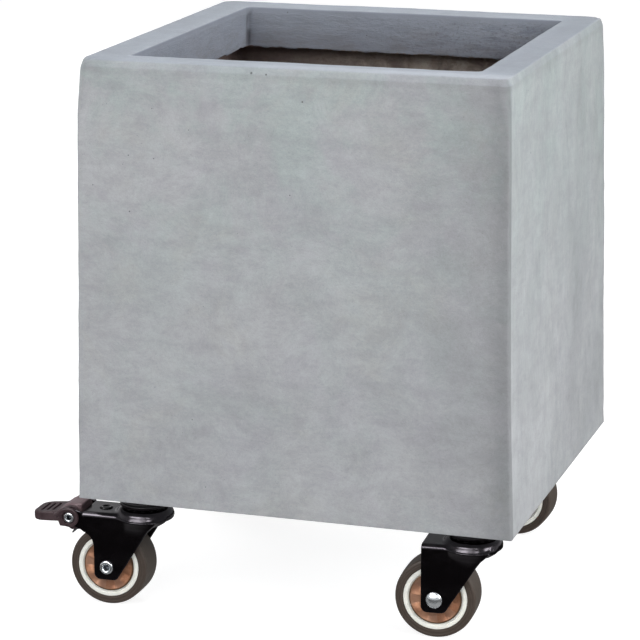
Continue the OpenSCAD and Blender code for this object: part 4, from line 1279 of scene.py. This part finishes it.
# white all over to the eye; in reflections only the lit patch round the object is white
k = Mat("studio_floor")
k.n("LightPath", out="Is Glossy Ray")
paths = k.last.outputs
k.n("BsdfDiffuse", {"Color": (0.40, 0.40, 0.40, 1)}, out=0)
dif = k.last.outputs[0]
k.n("Emission", {"Color": (1.0, 1.0, 1.0, 1), "Strength": k.math("MULTIPLY_ADD", paths["Is Camera Ray"], 0.26, 0.56)},
    out=0)
glow = k.last.outputs[0]
k.n("AddShader", {0: dif, 1: glow}, out=0)
lit = k.last.outputs[0]
k.n("SeparateXYZ", {0: k.obj()})
fx, fy = k.last.outputs[0], k.last.outputs[1]
away = k.math("MAXIMUM", k.math("ABSOLUTE", fx), k.math("ABSOLUTE", fy))
k.n("Emission", {"Color": (1.0, 1.0, 1.0, 1), "Strength": k.range(away, 0.130, 0.165, 0.24, 0.02)}, out=0)
dim = k.last.outputs[0]
k.n("MixShader", {0: paths["Is Glossy Ray"], 1: lit, 2: dim}, out=0)
k.t.links.new(k.last.outputs[0], k.out.inputs["Surface"])
floor.data.materials.append(k.m)

world = bpy.data.worlds.new("studio")
bpy.context.scene.world = world
world.use_nodes = True
wt = world.node_tree
wt.nodes.clear()


def wnode(kind, **ins):
    n = wt.nodes.new("ShaderNode" + kind)
    for a, b in ins.items():
        a = int(a[1:]) if a[0] == "i" and a[1:].isdigit() else a
        if isinstance(b, bpy.types.NodeSocket):
            wt.links.new(b, n.inputs[a])
        else:
            n.inputs[a].default_value = b
    return n


up = wnode("SeparateXYZ", i0=wt.nodes.new("ShaderNodeTexCoord").outputs["Generated"]).outputs[2]
ramp = wt.nodes.new("ShaderNodeValToRGB")
wt.links.new(up, ramp.inputs[0])
stops = [(0.0, 0.10), (0.03, 0.75), (0.20, 0.55), (0.45, 0.30), (1.0, 0.30)]
while len(ramp.color_ramp.elements) < len(stops):
    ramp.color_ramp.elements.new(0.5)
for el, (pos, val) in zip(ramp.color_ramp.elements, stops):
    el.position = pos
    el.color = (val, val, val * 1.02, 1)
dark = wnode("Background", Color=ramp.outputs[0], Strength=1.0).outputs[0]
white = wnode("Background", Color=(1, 1, 1, 1), Strength=1.0).outputs[0]
seen = wt.nodes.new("ShaderNodeLightPath").outputs["Is Camera Ray"]
mixw = wnode("MixShader", i0=seen, i1=dark, i2=white).outputs[0]
wout = wt.nodes.new("ShaderNodeOutputWorld")
wt.links.new(mixw, wout.inputs["Surface"])


def area(name, loc, target, size, radiance, color=(1, 1, 1)):
    """A soft box of that size in metres, as bright as its radiance says."""
    d = bpy.data.lights.new(name, "AREA")
    d.shape = "RECTANGLE"
    d.size, d.size_y = size
    d.energy = radiance * math.pi * size[0] * size[1]
    d.color = color
    o = bpy.data.objects.new(name, d)
    bpy.context.scene.collection.objects.link(o)
    o.location = loc
    o.rotation_euler = (Vector(target) - Vector(loc)).to_track_quat("-Z", "Y").to_euler()
    return o


area("key_right", (1.50, -0.42, 0.95), (0, 0, 0.2), (0.9, 0.8), 9.4)
area("front", (-0.42, -1.62, 1.18), (0, 0, 0.12), (1.9, 0.85), 3.2)
area("top", (0.1, 0.1, 2.6), (0, 0, 0), (2.0, 2.0), 2.0)
area("back_left", (-1.35, 1.35, 1.0), (0, 0, 0.2), (1.4, 1.0), 3.0).visible_glossy = False
# seen only in the gloss of enamel and metal
for name, loc, size, rad in (("gloss_front", (-0.62, -1.20, 1.25), (1.3, 0.95), 7.0),
                             ("gloss_right", (0.85, -1.55, 1.30), (0.45, 0.5), 9.0)):
    area(name, loc, (0, -0.1, 0.06), size, rad).visible_diffuse = False

bpy.context.scene.view_settings.view_transform = "Standard"
bpy.context.scene.view_settings.look = "None"
